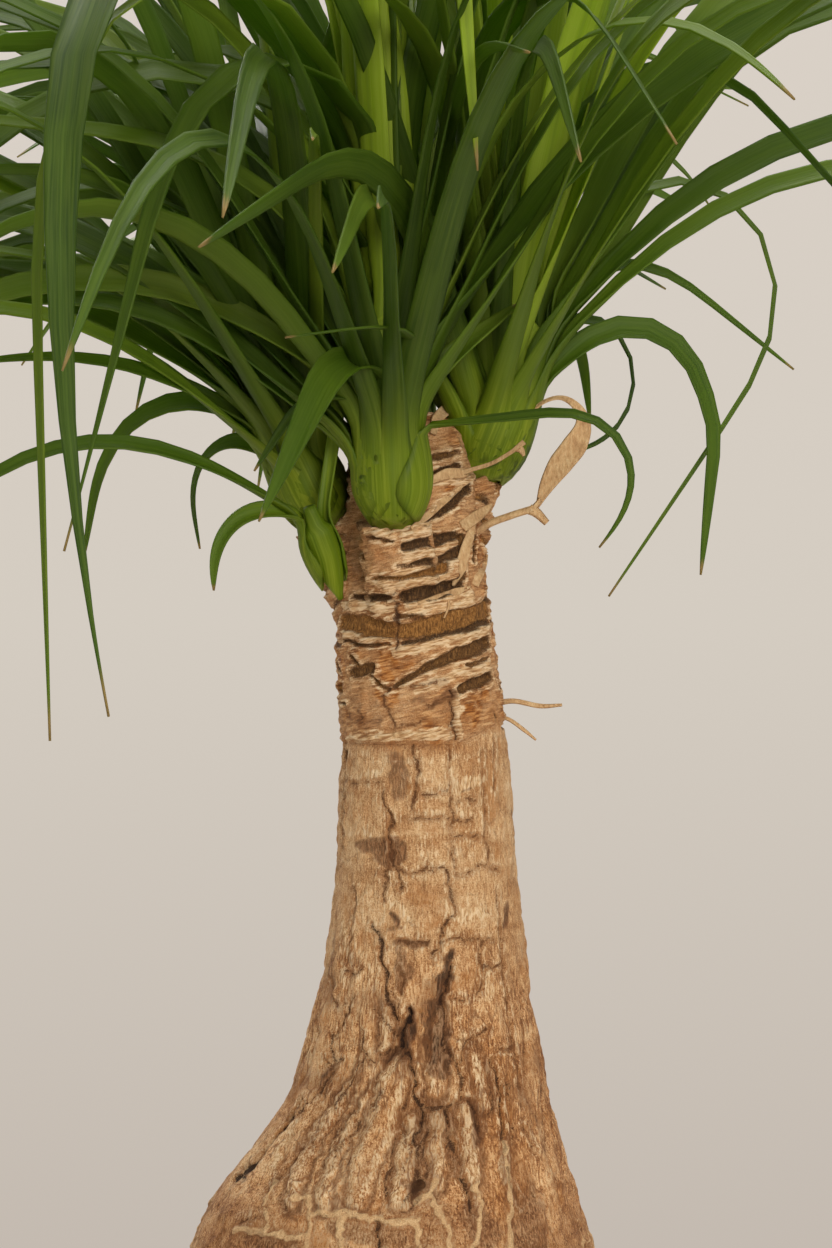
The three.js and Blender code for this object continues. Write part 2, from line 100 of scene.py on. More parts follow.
# Bark: heights where the net gives way to cork and the cork to blocks, and the mm that each change takes.
# Plates are width and height in mm. Angles either side of the front that the photograph's marks take.
NET_TOP = 268
NET_FADE = 16
CORK_TOP = 334
CORK_FADE = 40
NET_PLATE = (13, 11)
CORK_PLATE = (10, 34)
BLOCK_PLATE = (17, 15)
NONE_NEAR = 9.0
FAR_FROM_MARKS = 30.0
MARK_REACH = 12
FRONT_ANGLE = 1.35
FRONT_FADE = 0.35
FACING_ANGLE = 1.6
FRONT_NET_TOP = 256
SCAR_SEED = 61
NET_SEED = 11
CORK_SEED = 12
BLOCK_SEED = 14

# Pot and soil
POT_HEIGHT = 190
POT_TOP_RADIUS = 112
POT_FOOT_RADIUS = 79
POT_WALL = 7
POT_FLOOR = 9
POT_SIDES = 128
POT_RINGS = (2, 55, 110)
WORN_EDGE = 1.1
RIM_BAND_HEIGHT = 30
RIM_BAND_DEPTH = 5
HOLE_RADIUS = 6
HOLE_AWAY = 40
HOLE_SIDES = 32
DRILL_LENGTH = 40
DRILL_MIDDLE = 4
SOIL_LEVEL = 172
SOIL_MOUND = 4
SOIL_GAP = 0.3
SOIL_COLUMNS = 200
SOIL_ROWS = 96
SOIL_FOOT_ROW = 6
SOIL_WALL_ROW = 8
SOIL_WALL_START = 14
SOIL_RIM_ROW = 20
CRUMBS_FROM_TRUNK = 2
CRUMBS_FROM_WALL = 3.5

# Loose bits on the soil: name, how many, sizes in mm, height as a share of length, seed, colours, grain in mm
CRUMBS = [
    ("bark_chips", 420, (1.6, 4.2), 0.5, 41, [(58, 38, 26), (104, 72, 48), (150, 112, 78)], 3),
    ("white_grit", 130, (0.9, 2.0), 0.85, 42, [(176, 170, 158), (214, 209, 198), (236, 232, 224)], 1.5),
]

# Leaves
SEED = 4187
TRIES = 14
LEAF_STEPS = 24
BLADE_ACROSS = 8
BLADE_ROWS = 34
SHEATH_ROWS = 11
BLADE_THICKNESS = 0.6
STRAND_STEPS = 40
BUD_COLUMNS = 24
BUD_ROWS = 16
FULL_HEAD = 72
GOLDEN_ANGLE = 137.5
SAME_TIP = 0.1
BOX_MARGIN = 4
TONE_SEED = 300

HEADS = {
    "front_head": dict(base=(1, -24, 476), axis=(-0.05, -0.2, 0.98), radius=11, height=74,
                       leaves=32, rim=7, neck=0.95, extra=14, young=(28,)),
    "right_head": dict(base=(21, 3, 486), axis=(0.38, 0, 0.92), radius=12, height=72,
                       leaves=34, rim=13, neck=0.6, extra=20, young=(15, 23)),
    "left_head": dict(base=(-16, 0, 476), axis=(-0.42, 0, 0.9), radius=11, height=70,
                      leaves=34, rim=8, neck=0.85, extra=20),
    "back_head": dict(base=(4, 26, 480), axis=(0, 0.4, 0.92), radius=12, height=72,
                      leaves=48, rim=8, neck=0.95, extra=24),
    "side_shoot": dict(base=(-14, -17, 456), axis=(-0.3, -0.3, 0.9), radius=5.5, height=44,
                       leaves=5, rim=9, extra=0),
}

# The clear space round the trunk, under the grown leaves
CLEAR_HALF_WIDTH = 150
CLEAR_TOP = 500
CLEAR_RISE_RIGHT = 1.5
CLEAR_RISE_LEFT = 0.45
CLEAR_INNER = 50
SKIRT = 440


def strap(heading, rise, droop, bend, length, width, **more):
    """How a leaf grows: heading from the right, rise at the root and droop in degrees, the shares of its
    length that it bends between, length and width in mm. Where a leaf has them: turn and twist in degrees, a
    fold's place and degrees, the taper of its tip, up for its root's place along the head, and fresh for a
    bright leaf."""
    return dict(heading=heading, rise=rise, droop=droop, bend=bend, length=length, width=width, **more)


# The leaves that make up the seen outline
PLACED_LEAVES = {
    "front_head": [
        strap(256, 88, 163, (0.1, 0.72), 300, 13, turn=-60, twist=-20, taper=1.3),
        strap(200, 74, 72, (0.05, 0.75), 200, 8, twist=-55),
        strap(192, 88, 130, (0.05, 0.65), 330, 11, twist=-45),
        strap(246, 62, 108, (0, 0.6), 115, 11, twist=-40, taper=0.8),
        strap(320, 62, 70, (0, 0.8), 90, 5, turn=-140),
        strap(205, 60, 115, (0, 0.8), 60, 5, twist=-40),
        strap(252, 88, 22, (0.1, 0.9), 200, 18, fresh=1),
        strap(320, 85, 60, (0.3, 1), 230, 13),
        strap(346, 62, 50, (0, 0.75), 340, 15, twist=60),
        strap(10, 58, 20, (0.1, 0.9), 60, 11, twist=40),
        strap(186, 50, 75, (0, 0.75), 230, 9, twist=-70),
        strap(345, 6, 135, (0.4, 1), 108, 4, up=34, twist=50),
        strap(288, 88, 165, (0.4, 0.8), 290, 9),
        strap(188, 86, 158, (0.05, 0.7), 430, 17, turn=125, taper=1.2),
        strap(238, 86, 178, (0.05, 0.75), 410, 7, turn=-20, taper=0.8),
    ],
    "right_head": [
        strap(5, 58, 80, (0, 0.85), 330, 9, twist=70),
        strap(358, 52, 92, (0.05, 0.9), 300, 7, twist=60),
        strap(340, 76, 125, (0.3, 0.75), 230, 7, twist=-30),
        strap(300, 70, 40, (0.3, 1), 220, 13, fresh=0.9),
        strap(10, 66, 80, (0.2, 1), 330, 11, twist=50),
        strap(30, 64, 95, (0.15, 0.75), 150, 5, twist=60),
        strap(12, 46, 120, (0.2, 0.65), 150, 8, fold=(0.66, 22), twist=70),
        strap(60, 45, 120, (0.4, 0.9), 100, 8, twist=10),
        strap(36, 58, 225, (0.15, 1), 125, 5, twist=50),
        strap(20, 66, 192, (0.15, 0.75), 275, 5, twist=40),
    ],
    "left_head": [
        strap(175, 55, 40, (0, 1), 200, 7, twist=-60),
        strap(170, 60, 50, (0.1, 1), 230, 7, twist=-50),
        strap(165, 70, 60, (0.1, 1), 240, 9, twist=-50),
        strap(178, 58, 75, (0.1, 0.6), 210, 10, twist=-55),
        strap(188, 45, 50, (0, 0.8), 230, 9, twist=-65),
        strap(182, 42, 50, (0, 1), 120, 6, twist=-50),
        strap(165, 42, 122, (0.1, 0.9), 112, 8, twist=-60),
        strap(150, 30, 130, (0.2, 0.9), 72, 7, twist=-50),
    ],
    "back_head": [],
    "side_shoot": [
        strap(190, 32, 78, (0.1, 0.9), 155, 6, up=44, twist=-50),
        strap(195, 34, 125, (0, 1), 50, 6, up=44, twist=-60),
    ],
}

# Bright young leaves that stand in front of the others
YOUNG_LEAVES = {
    "front_head": [strap(246, 81, -3, (0.1, 0.9), 240, 17, fresh=1)],
    "right_head": [
        strap(318, 73, 8, (0.1, 0.9), 235, 15, twist=20, fresh=1),
        strap(326, 70, 4, (0.1, 0.9), 220, 11, twist=30, fresh=1),
    ],
}

# Marks on the front of the bark, at pixels of the photograph.
# The groove below the scars, in front, and its angles and heights at the sides and back
GROOVE_PIXELS = [(340, 742), (366, 744), (396, 745), (430, 746), (456, 744), (488, 730), (500, 722)]
GROOVE_LEFT = [(-math.pi, 419), (-2.3, 415)]
GROOVE_RIGHT = [(2.2, 423), (math.pi, 419)]
# Sunk leaf scars: points, height in pixels at each, depth in mm, and rust from 0, near black, to 1, orange
FRONT_SCARS = [
    ([(424, 523), (445, 506), (467, 488)], [3, 12, 9], 2.2, 0.1),
    ([(404, 546), (430, 541), (455, 536)], [8, 11, 9], 2.0, 0.1),
    ([(398, 566), (435, 560), (465, 549)], [2, 7, 12], 2.0, 0.15),
    ([(372, 580), (410, 576), (444, 567)], [2, 5, 12], 1.6, 0.85),
    ([(404, 597), (430, 593), (459, 584)], [12, 16, 12], 2.4, 0.1),
    ([(353, 597), (372, 598), (390, 597)], [4, 7, 6], 2.0, 0.1),
    ([(460, 538), (461, 560), (462, 577)], [9, 8, 7], 2.0, 0.35),
    ([(474, 536), (473, 560)], [5, 5], 2.0, 0.2), ([(399, 617), (422, 616)], [4, 3], 1.2, 0.4),
    ([(371, 536), (392, 541)], [4, 3], 1.2, 0.3),
    ([(344, 622), (368, 626), (392, 630)], [15, 20, 17], 1.0, 0.75),
    ([(344, 641), (368, 646), (391, 645)], [3, 4, 3], 1.5, 0.25),
    ([(402, 632), (440, 624), (486, 609)], [15, 20, 19], 1.0, 0.8),
    ([(403, 644), (445, 634), (486, 621)], [3, 5, 6], 1.8, 0.1),
    ([(394, 687), (430, 666), (460, 653), (488, 642)], [3, 8, 13, 12], 1.7, 0.35),
    ([(467, 665), (488, 657)], [3, 3], 1.0, 0.4),
    ([(461, 690), (476, 683), (491, 676)], [8, 12, 11], 1.8, 0.35),
    ([(354, 672), (373, 668)], [12, 9], 1.5, 0.35),
    ([(350, 655), (372, 676), (388, 690)], [3, 3, 4], 1.1, 0.5),
    ([(426, 479), (441, 472), (457, 466)], [4, 9, 6], 1.8, 0.15),
    ([(432, 457), (458, 452)], [5, 4], 1.2, 0.4),
]
# Pale raised strips: points, height in pixels and how far they stand out in mm
FRONT_STRIPS = [
    ([(399, 653), (440, 641), (486, 628)], 10, 0.7), ([(410, 606), (440, 604), (470, 596)], 14, 0.6),
    ([(405, 554), (430, 550), (458, 543)], 6, 0.6), ([(400, 571), (430, 567), (456, 560)], 5, 0.5),
    ([(380, 585), (410, 583), (446, 574)], 6, 0.5), ([(345, 606), (392, 607)], 7, 0.5),
    ([(345, 634), (392, 639)], 5, 0.6), ([(420, 690), (456, 674), (488, 665)], 8, 0.5),
    ([(380, 737), (414, 735), (448, 733)], 7, 0.7), ([(456, 694), (459, 736)], 6, 0.6),
    ([(425, 484), (450, 481), (476, 477)], 8, 0.9), ([(417, 531), (436, 511), (458, 490)], 5, 0.8),
    ([(372, 530), (392, 535), (430, 528)], 5, 0.6), ([(300, 1118), (280, 1150), (270, 1186)], 4, 0.4),
    ([(345, 925), (352, 960)], 5, 0.6), ([(503, 1160), (506, 1180)], 6, 0.6),
    ([(345, 741), (390, 737)], 5, 0.6),
]
# Cracks: points, width in pixels and depth in mm
FRONT_CRACKS = [
    ([(395, 592), (397, 622), (398, 650)], 2.5, 1.4), ([(389, 689), (383, 699), (393, 728)], 3, 0.9),
    ([(413, 689), (446, 680)], 2, 0.6), ([(425, 705), (450, 697)], 3, 0.6),
    ([(399, 726), (433, 721)], 2.5, 0.6), ([(451, 692), (453, 715), (455, 738)], 2.5, 1.4),
    ([(412, 745), (418, 763), (418, 781), (412, 810)], 2.5, 1.0),
    ([(384, 792), (389, 820), (392, 850), (397, 872), (401, 890)], 2.5, 1.1),
    ([(382, 872), (383, 901)], 2, 0.8), ([(450, 700), (449, 760), (452, 836), (455, 869)], 1.5, 0.5),
    ([(447, 872), (452, 895), (454, 915)], 2.5, 1.0), ([(405, 819), (440, 817), (471, 820)], 1.8, 0.7),
    ([(384, 869), (414, 871), (443, 868)], 2, 0.8), ([(455, 838), (480, 837)], 2.5, 0.6),
    ([(457, 875), (482, 867), (497, 868)], 2, 0.6),
    ([(483, 752), (484, 800), (487, 845), (490, 872)], 1.5, 0.5), ([(343, 781), (380, 784)], 1.5, 0.5),
    ([(423, 794), (448, 792)], 2, 0.8), ([(458, 803), (478, 800)], 1.8, 0.6),
    ([(496, 740), (495, 790)], 1.5, 0.5), ([(343, 745), (345, 790), (344, 850)], 1.5, 0.4),
    ([(355, 890), (352, 930), (350, 960)], 1.8, 0.6), ([(345, 972), (354, 974), (360, 968)], 2.5, 1.0),
    ([(372, 925), (381, 945), (384, 975), (388, 1003), (396, 1022)], 3, 1.6),
    ([(354, 1000), (346, 1014), (336, 1030), (326, 1048), (331, 1064), (340, 1060)], 2.5, 1.2),
    ([(330, 968), (334, 1003), (346, 1006)], 1.8, 0.6), ([(322, 1056), (332, 1075), (320, 1098)], 2, 1.0),
    ([(362, 1032), (364, 1052), (372, 1062), (384, 1055), (396, 1048)], 2.5, 1.2),
    ([(374, 1012), (386, 1026), (397, 1036)], 2.2, 1.0),
    ([(365, 1056), (356, 1075), (344, 1092), (334, 1108)], 2.2, 1.2),
    ([(392, 990), (397, 1010), (399, 1026)], 1.8, 0.8), ([(401, 968), (402, 995)], 1.8, 0.7),
    ([(395, 944), (410, 942), (429, 941)], 2.5, 0.9),
    ([(454, 915), (443, 927), (441, 942), (432, 955)], 2.5, 1.2),
    ([(442, 940), (470, 938), (492, 938)], 1.8, 0.6),
    ([(482, 938), (479, 958), (484, 975), (478, 996)], 2, 0.8),
    ([(484, 969), (496, 967), (504, 965)], 2.2, 0.8), ([(450, 1000), (466, 1000)], 2.5, 0.9),
    ([(452, 968), (446, 985), (441, 1000), (446, 1022), (444, 1046)], 3, 1.7),
    ([(446, 1050), (455, 1062), (462, 1080), (463, 1100)], 2.5, 1.3),
    ([(487, 1030), (474, 1036), (464, 1046), (461, 1062)], 2.2, 1.0), ([(497, 1050), (512, 1047)], 2.5, 0.9),
    ([(400, 1056), (408, 1052), (413, 1066), (415, 1092), (422, 1112), (420, 1128), (415, 1143)], 3, 1.8),
    ([(422, 1105), (436, 1112), (447, 1108), (455, 1100), (467, 1102), (478, 1112), (480, 1136)], 2.5, 1.3),
    ([(447, 1112), (450, 1138), (459, 1160), (461, 1178), (470, 1198), (474, 1214)], 2.6, 1.5),
    ([(394, 1136), (389, 1165), (385, 1200)], 2.5, 1.3), ([(376, 1073), (380, 1092), (370, 1110)], 2, 0.8),
    ([(490, 1060), (498, 1088), (501, 1118), (505, 1150)], 3, 1.6),
    ([(505, 1150), (510, 1180), (520, 1205)], 1.8, 0.7), ([(520, 1125), (534, 1150)], 1.8, 0.7),
    ([(497, 890), (501, 935), (504, 965), (512, 1040), (520, 1105)], 1.8, 0.7),
    ([(301, 1100), (288, 1122), (272, 1144), (262, 1158), (243, 1178)], 6, 2.6),
    ([(331, 1070), (318, 1090), (300, 1112)], 2.5, 1.3), ([(300, 1150), (285, 1170), (266, 1192)], 2, 0.8),
    ([(262, 1215), (240, 1222)], 2.5, 1.0), ([(352, 1110), (344, 1130), (330, 1160)], 1.8, 0.6),
    ([(404, 1130), (410, 1150), (404, 1172)], 1.8, 0.7), ([(378, 1222), (377, 1234), (379, 1252)], 4, 1.8),
    ([(455, 967), (447, 985), (438, 1002)], 1.5, 1.6), ([(410, 1012), (405, 1030), (402, 1046)], 4, 2.6),
    ([(236, 1180), (250, 1168)], 7, 2.4),
]
# Broad rounded plates of the caudex: points, width in pixels at each and how far they stand out in mm
FRONT_PLATES = [
    ([(360, 1068), (338, 1100), (314, 1138), (298, 1170), (290, 1200)], [8, 16, 22, 24, 22], 1.3),
    ([(372, 1086), (352, 1118), (336, 1150), (326, 1180), (322, 1206)], [6, 14, 18, 20, 18], 1.3),
    ([(400, 1060), (390, 1090), (378, 1130), (364, 1165), (356, 1200)], [22, 34, 34, 32, 28], 1.4),
    ([(412, 1118), (406, 1150), (402, 1200)], [14, 22, 24], 1.0),
    ([(438, 1118), (436, 1150), (440, 1185)], [20, 24, 18], 1.0),
    ([(464, 1110), (470, 1140), (476, 1180)], [18, 22, 18], 0.9),
    ([(440, 1012), (438, 1050), (436, 1092)], [14, 24, 22], 0.5),
    ([(474, 1052), (480, 1082), (486, 1108)], [14, 20, 16], 0.6),
    ([(384, 1008), (386, 1030), (382, 1048)], [12, 18, 14], 0.6),
]
# Hollows: centre, half width and half height in pixels, depth in mm
FRONT_HOLLOWS = [((419, 1188), (7, 5), 2.2), ((497, 716), (4, 5), 1.6)]
# Chips, charred streaks and knots: points, width in pixels at each, and strength from 0 to 1
FRONT_STAINS = [
    ([(356, 845), (374, 845), (391, 852)], [4, 19, 36], 0.68),
    ([(397, 757), (400, 775), (399, 793)], [12, 24, 16], 0.5), ([(391, 915), (398, 921)], [5, 7], 0.95),
    ([(389, 929), (401, 927)], [4, 4], 0.8), ([(392, 943), (410, 944), (427, 942)], [4, 7, 4], 0.8),
    ([(400, 952), (404, 972), (402, 990)], [12, 24, 10], 0.55), ([(507, 906), (506, 921)], [10, 13], 0.8),
    ([(451, 956), (446, 978), (438, 1006)], [10, 17, 11], 1.0),
    ([(432, 1006), (436, 1036), (441, 1066)], [18, 30, 24], 0.72),
    ([(412, 1014), (407, 1034), (403, 1054)], [12, 20, 11], 1.0),
    ([(437, 1036), (436, 1060)], [10, 14], 0.9), ([(474, 1108), (478, 1140)], [8, 14], 0.7),
    ([(404, 1185), (418, 1190)], [6, 16], 0.7), ([(428, 706), (440, 700), (451, 694)], [4, 10, 14], 0.7),
    ([(410, 702), (424, 698)], [4, 9], 0.4), ([(352, 716), (366, 722), (380, 722)], [10, 14, 8], 0.5),
    ([(353, 706), (362, 712)], [4, 5], 0.7), ([(462, 790), (474, 788)], [3, 4], 0.8),
    ([(385, 1062), (397, 1052)], [6, 8], 0.6),
    ([(300, 1108), (282, 1132), (262, 1160), (244, 1180)], [5, 8, 8, 6], 0.9),
    ([(330, 1064), (316, 1088)], [5, 5], 0.7), ([(336, 905), (334, 960), (332, 1000)], [6, 10, 8], 0.4),
    ([(452, 1150), (458, 1176)], [8, 8], 0.5), ([(330, 1228), (362, 1234), (400, 1238)], [14, 20, 18], 0.35),
    ([(505, 1150), (522, 1200), (530, 1240)], [20, 40, 50], 0.3),
    ([(250, 1240), (290, 1246)], [18, 20], 0.35), ([(470, 1215), (490, 1235)], [22, 30], 0.35),
]
# Rusty places: centre, half width and half height in pixels, and strength
FRONT_RUST = [
    ((384, 655), (14, 22), 1.0), ((396, 618), (5, 34), 0.9), ((372, 622), (26, 16), 0.8),
    ((448, 620), (40, 15), 0.7), ((470, 705), (16, 22), 0.7), ((388, 690), (12, 20), 0.8),
    ((420, 748), (70, 7), 0.6), ((400, 760), (14, 18), 0.5), ((505, 1110), (14, 40), 0.8),
    ((418, 800), (6, 16), 0.5), ((346, 960), (10, 40), 0.6), ((400, 1130), (8, 44), 0.45),
    ((358, 1075), (12, 14), 0.5), ((515, 1170), (26, 60), 0.6), ((388, 830), (6, 44), 0.5),
    ((466, 1110), (10, 40), 0.5), ((425, 900), (30, 18), 0.3), ((372, 1010), (14, 30), 0.4),
    ((418, 1040), (50, 62), 0.5), ((486, 1110), (40, 90), 0.42),
]
# Pale worn places: points, width in pixels at each, and strength
FRONT_PALE_PATCHES = [
    ([(358, 774), (372, 775), (385, 772)], [5, 9, 5], 0.7),
    ([(350, 836), (360, 831), (374, 834)], [4, 8, 3], 0.9),
    ([(425, 790), (445, 788), (465, 785), (485, 778)], [3, 7, 15, 8], 0.9),
    ([(447, 917), (465, 916), (488, 913)], [6, 16, 12], 0.9),
    ([(383, 912), (392, 905), (404, 908), (408, 918), (404, 930)], [5, 6, 6, 6, 4], 1.0),
    ([(441, 950), (449, 930)], [4, 8], 0.5), ([(396, 762), (470, 758)], [6, 8], 0.35),
    ([(345, 752), (385, 756)], [7, 6], 0.4), ([(424, 812), (480, 812)], [5, 5], 0.35),
    ([(488, 972), (490, 996)], [12, 18], 0.5), ([(460, 1014), (462, 1044)], [8, 10], 0.5),
    ([(372, 968), (372, 988)], [8, 10], 0.6), ([(352, 800), (358, 818)], [14, 10], 0.3),
    ([(425, 845), (428, 862)], [24, 20], 0.3), ([(470, 850), (474, 868)], [16, 14], 0.3),
    ([(342, 930), (345, 985)], [5, 6], 0.6), ([(452, 725), (462, 708)], [6, 8], 0.5),
    ([(350, 735), (388, 728)], [3, 4], 0.5),
]
# Pale raised lines of the caudex: points and width in pixels
FRONT_NET = [
    ([(315, 1213), (350, 1214), (380, 1220), (416, 1224)], 3.8), ([(294, 1198), (312, 1199)], 3.4),
    ([(236, 1229), (270, 1232), (306, 1238)], 3.8), ([(307, 1196), (310, 1216), (306, 1248)], 3.4),
    ([(275, 1181), (267, 1196), (269, 1228)], 2.8), ([(470, 1252), (478, 1238)], 2.8),
    ([(340, 1214), (341, 1236), (345, 1260)], 3.4), ([(419, 1221), (418, 1240), (424, 1262)], 3.4),
    ([(415, 1205), (430, 1195), (436, 1180)], 3.4),
    ([(430, 1195), (439, 1209), (447, 1226), (450, 1248)], 3.4),
    ([(475, 1185), (482, 1205), (478, 1244)], 3.4),
    ([(504, 1141), (511, 1190), (510, 1227), (512, 1256)], 3.4),
]

# Dry bits, at pixels of the photograph with mm back from the trunk's axis, and half widths in mm.
# The dead leaf that hangs at the right head
DEAD_LEAF_ARC = [(528, 418, -2), (541, 404, -4), (560, 398, -6), (576, 406, -7), (583, 424, -7),
                 (575, 445, -7), (559, 466, -7), (546, 487, -7), (537, 508, -7)]
DEAD_LEAF_HALVES = [0.8, 0.9, 1.0, 1.3, 2.4, 3.9, 3.7, 2.2, 0.3]
DEAD_LEAF_FACES = [(0, -0.6, 1)] * 3 + [(0.2, -1, 0.3)] * 6
# Bits in the air: points, half widths, thickness in mm and the way that the upper face looks
HANGING_BITS = [
    ("twig", [(462, 545, -4), (486, 526, -8), (511, 516, -10), (533, 509, -11)],
     [1.4, 1.3, 1.2, 1.1], 2.0, (0, 0, 1)),
    ("twig_fork", [(529, 509, -11), (537, 513, -11), (547, 523, -11)], [1.3, 1.2, 0.7], 1.6, (0, -1, 0)),
    ("twig_spur", [(531, 511, -11), (537, 504, -11), (540, 498, -11)], [0.9, 0.6, 0.3], 1.0, (0, -1, 0)),
    ("fibre", [(488, 706, 2), (512, 701, 0), (540, 706, -2), (562, 705, -3)],
     [0.9, 0.65, 0.6, 0.3], 0.8, (0, -1, 0)),
    ("thin_fibre", [(492, 716, 0), (508, 719, -1), (524, 730, -2), (536, 740, -2)],
     [0.4, 0.5, 0.5, 0.2], 0.6, (0, -1, 0)),
    ("stalk", [(452, 476, -14), (470, 470, -15), (492, 463, -15), (511, 452, -14), (524, 442, -13)],
     [0.9, 0.6, 0.5, 0.5, 0.8], 0.7, (0, -1, 0.3)),
    ("stalk_tip", [(515, 449, -13), (521, 450, -13), (524, 456, -13)], [0.5, 1.0, 0.3], 0.8, (0, -1, 0)),
]
# Bits on the bark: the way that they face, then points, how far each stands proud in mm, and half widths
CLINGING_FACE = (0.1, -1, 0.1)
CLINGING_BITS = [
    ("flap", [(474, 522), (467, 544), (460, 568), (453, 586)],
     [1.4, 2.2, 1.8, 0.6], [0.7, 1.5, 1.9, 0.4]),
    ("curl", [(433, 434), (437, 419), (449, 408), (464, 402)],
     [1.0, 2.2, 2.6, 2.0], [0.9, 1.7, 1.9, 0.4]),
    ("low_curl", [(430, 481), (447, 474), (462, 473), (474, 470)],
     [0.6, 1.2, 1.4, 1.2], [1.0, 1.7, 1.5, 0.3]),
    ("upper_flake", [(462, 527), (476, 517), (485, 510), (492, 504)],
     [0.4, 1.2, 1.6, 2.0], [1.8, 1.8, 1.2, 0.2]),
    ("side_flake", [(474, 585), (480, 573), (484, 564), (487, 555)],
     [0.3, 0.8, 1.0, 1.2], [1.4, 1.3, 0.9, 0.2]),
    ("torn_edge", [(412, 529), (428, 515), (446, 499), (462, 486)],
     [0.4, 0.9, 1.0, 0.6], [0.8, 1.1, 1.1, 0.4]),
    ("torn_lip", [(418, 603), (436, 598), (456, 592), (470, 587)],
     [0.1, 0.5, 0.9, 0.6], [0.4, 0.9, 1.2, 0.3]),
    ("loose_thread", [(444, 592), (449, 604), (444, 618)],
     [0.3, 0.8, 0.6], [0.3, 0.35, 0.2]),
]
# Dead leaves behind the trunk: root and growth
DEAD_LEAVES = [
    ((4, 24, 470), strap(70, 10, 95, (0, 0.6), 62, 7)),
    ((-8, 8, 462), strap(100, 20, 100, (0, 0.6), 46, 5)),
]

# Floor, in metres, and soft lights: name, place and target in metres, width in metres, watts and tint
FLOOR_RADIUS = 1.25
FLOOR_SIDES = 96
FLOOR_INSET = 0.5
FLOOR_FADE_START = 0.55
FLOOR_FADE_END = 1.2
LIGHTS = [
    ("front light", (0.55, -1.9, 1.15), (0, 0, 0.42), 1.1, 30, (1, 0.97, 0.93)),
    ("top light", (0.1, 0.35, 2.2), (0, 0, 0.5), 1.2, 34, (1, 0.98, 0.95)),
    ("back light", (-0.9, 1.7, 1.5), (0, 0, 0.6), 0.9, 22, (1, 0.98, 0.94)),
]


def ease(share):
    """Smooth step from 0 to 1."""
    kept = np.clip(share, 0, 1)
    return kept * kept * (3 - 2 * kept)


def unit(rows):
    """Rows of vectors, each made one long."""
    return rows / np.maximum(np.linalg.norm(rows, axis=-1, keepdims=True), 1e-9)


def waves(points, size, seed=0):
    """Smooth noise of about -1 to 1 at each point, with lumps of a size in mm."""
    return WAVE_REACH * np.array([noise.noise(Vector(p)) for p in points / size + WAVE_SHIFT * seed])


def colour(red, green, blue):
    """A display colour, 0 to 255, as the linear values that a shader takes."""
    share = [c / 255 for c in (red, green, blue)]
    return tuple(c / 12.92 if c <= 0.04045 else ((c + 0.055) / 1.055) ** 2.4 for c in share) + (1,)


# Mesh helpers

def activate(piece):
    bpy.ops.object.select_all(action="DESELECT")
    piece.select_set(True)
    bpy.context.view_layer.objects.active = piece


def named(name):
    """The primitive that was just added, under its own name."""
    piece = bpy.context.active_object
    piece.name = piece.data.name = name
    return piece


def mesh_points(piece):
    points = np.zeros(len(piece.data.vertices) * 3)
    piece.data.vertices.foreach_get("co", points)
    return points.reshape(-1, 3)


def set_points(piece, points_mm):
    piece.data.vertices.foreach_set("co", (points_mm * MM).astype(np.float32).ravel())
    piece.data.update()


def set_values(piece, **values):
    """Keeps a number for each vertex, for the material to read."""
    for name, numbers in values.items():
        attribute = piece.data.attributes.new(name, "FLOAT", "POINT")
        filled = np.broadcast_to(np.asarray(numbers, np.float32), len(piece.data.vertices))
        attribute.data.foreach_set("value", np.ascontiguousarray(filled))


def grid(name, columns, rows):
    """A grid primitive, with each point's place across it, from -1 to 1, and up it, from 0 to 1."""
    bpy.ops.object.select_all(action="DESELECT")
    bpy.ops.mesh.primitive_grid_add(x_subdivisions=columns, y_subdivisions=rows, size=2, location=(0, 0, 0))
    piece = named(name)
    points = mesh_points(piece)
    return piece, points[:, 0], (points[:, 1] + 1) / 2


def close_tube(piece):
    """Joins a wrapped grid's seam and draws each open end to a point."""
    activate(piece)
    bpy.ops.object.mode_set(mode="EDIT")
    bpy.ops.mesh.select_mode(type="VERT")
    bpy.ops.mesh.select_all(action="SELECT")
    bpy.ops.mesh.remove_doubles(threshold=2e-6)
    bpy.ops.mesh.select_all(action="DESELECT")
    bpy.ops.mesh.select_non_manifold()
    bpy.ops.mesh.extrude_edges_move()
    bpy.ops.mesh.merge(type="COLLAPSE")
    bpy.ops.mesh.select_all(action="SELECT")
    bpy.ops.mesh.normals_make_consistent(inside=False)
    bpy.ops.object.mode_set(mode="OBJECT")
    bpy.ops.object.shade_smooth()


def joined(name, pieces):
    """Several pieces as one, under one name."""
    bpy.ops.object.select_all(action="DESELECT")
    for piece in pieces:
        piece.select_set(True)
    bpy.context.view_layer.objects.active = pieces[0]
    if len(pieces) > 1:
        bpy.ops.object.join()
    return named(name)


def finish_piece(piece, material, slot, *nodes):
    """Gives a piece its material and its place in the plant."""
    piece.data.materials.clear()
    piece.data.materials.append(material)
    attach(piece, "root")
    if nodes:
        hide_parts(*nodes)


# Materials

